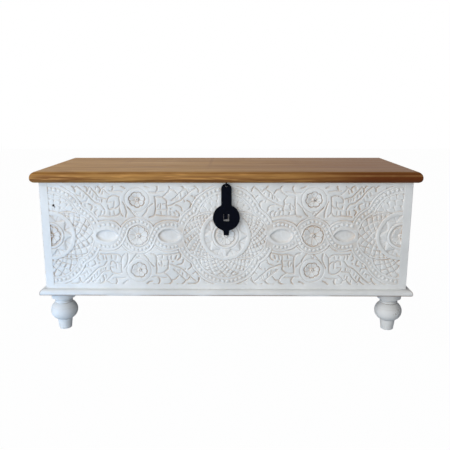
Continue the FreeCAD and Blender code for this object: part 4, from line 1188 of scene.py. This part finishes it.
def makeFloor():
    half, low = stageValues["floorSize"] / 2.0, -stageValues["floorDrop"]
    mesh = bpy.data.meshes.new("floor")
    corners = [(-half, -half, low), (half, -half, low), (half, half, low), (-half, half, low)]
    mesh.from_pydata(corners, [], [(0, 1, 2, 3)])
    floor = addPiece("floor", mesh)
    material, tree, shader = newMaterial("paleFloor")
    fillInputs(tree, shader, {"Base Color": stageValues["bounce"], "Roughness": stageValues["floorRough"]})
    glow = addNode(tree, "ShaderNodeEmission", {"Color": stageValues["pureWhite"], "Strength": 1.0})
    share = times(tree, seenDirectly(tree), stageValues["white"])
    mixed = addNode(tree, "ShaderNodeMixShader", {0: share, 1: shader.outputs[0], 2: glow.outputs[0]})
    tree.links.new(mixed.outputs[0], tree.nodes["Material Output"].inputs["Surface"])
    mesh.materials.append(material)


def seenDirectly(tree):
    path = tree.nodes.new("ShaderNodeLightPath").outputs
    seen = reckon(tree, "MAXIMUM", path["Is Camera Ray"], path["Is Glossy Ray"])
    return reckon(tree, "MAXIMUM", seen, path["Is Transmission Ray"])


def makeWorld():
    world = bpy.data.worlds.new("studio")
    world.use_nodes = True
    scene.world = world
    tree = world.node_tree
    tree.nodes.clear()
    light = addNode(tree, "ShaderNodeBackground", {0: stageValues["skyColour"], 1: stageValues["ambient"]})
    white = addNode(tree, "ShaderNodeBackground", {0: stageValues["pureWhite"], 1: 1.0})
    sources = {0: seenDirectly(tree), 1: light.outputs[0], 2: white.outputs[0]}
    mixed = addNode(tree, "ShaderNodeMixShader", sources)
    addNode(tree, "ShaderNodeOutputWorld", {0: mixed.outputs[0]})


def makeLamp(name, place, aim, power, size, colour=(1.0, 1.0, 1.0)):
    lamp = bpy.data.lights.new(name, "AREA")
    lamp.energy = power
    lamp.size = size
    lamp.color = colour
    made = addPiece(name, lamp)
    made.location = place
    made.rotation_euler = (Vector(aim) - Vector(place)).to_track_quat("-Z", "Y").to_euler()


makeFloor()
makeWorld()
for name, lamp in lamps.items():
    makeLamp(name, **lamp)

view = {"place": (0.0195, -1.7843, 0.7001), "yaw": -0.752, "down": 12.63, "roll": -0.075, "lens": 43.05,
        "sensor": 36.0}
camera = addPiece("camera", bpy.data.cameras.new("camera"))
camera.data.sensor_width = view["sensor"]
camera.data.lens = view["lens"]
yaw, down, roll = (math.radians(view[key]) for key in ("yaw", "down", "roll"))
forward = Vector((math.sin(yaw) * math.cos(down), math.cos(yaw) * math.cos(down), -math.sin(down)))
right = Vector((math.cos(yaw), -math.sin(yaw), 0.0))
up = right.cross(forward)
tiltedRight = right * math.cos(roll) + up * math.sin(roll)
tiltedUp = up * math.cos(roll) - right * math.sin(roll)
facing = Matrix((tiltedRight, tiltedUp, -forward)).transposed()
camera.matrix_world = Matrix.Translation(view["place"]) @ facing.to_4x4()
scene.camera = camera
scene.view_settings.view_transform = "Standard"
print("stage: floor, world, lamps and camera")
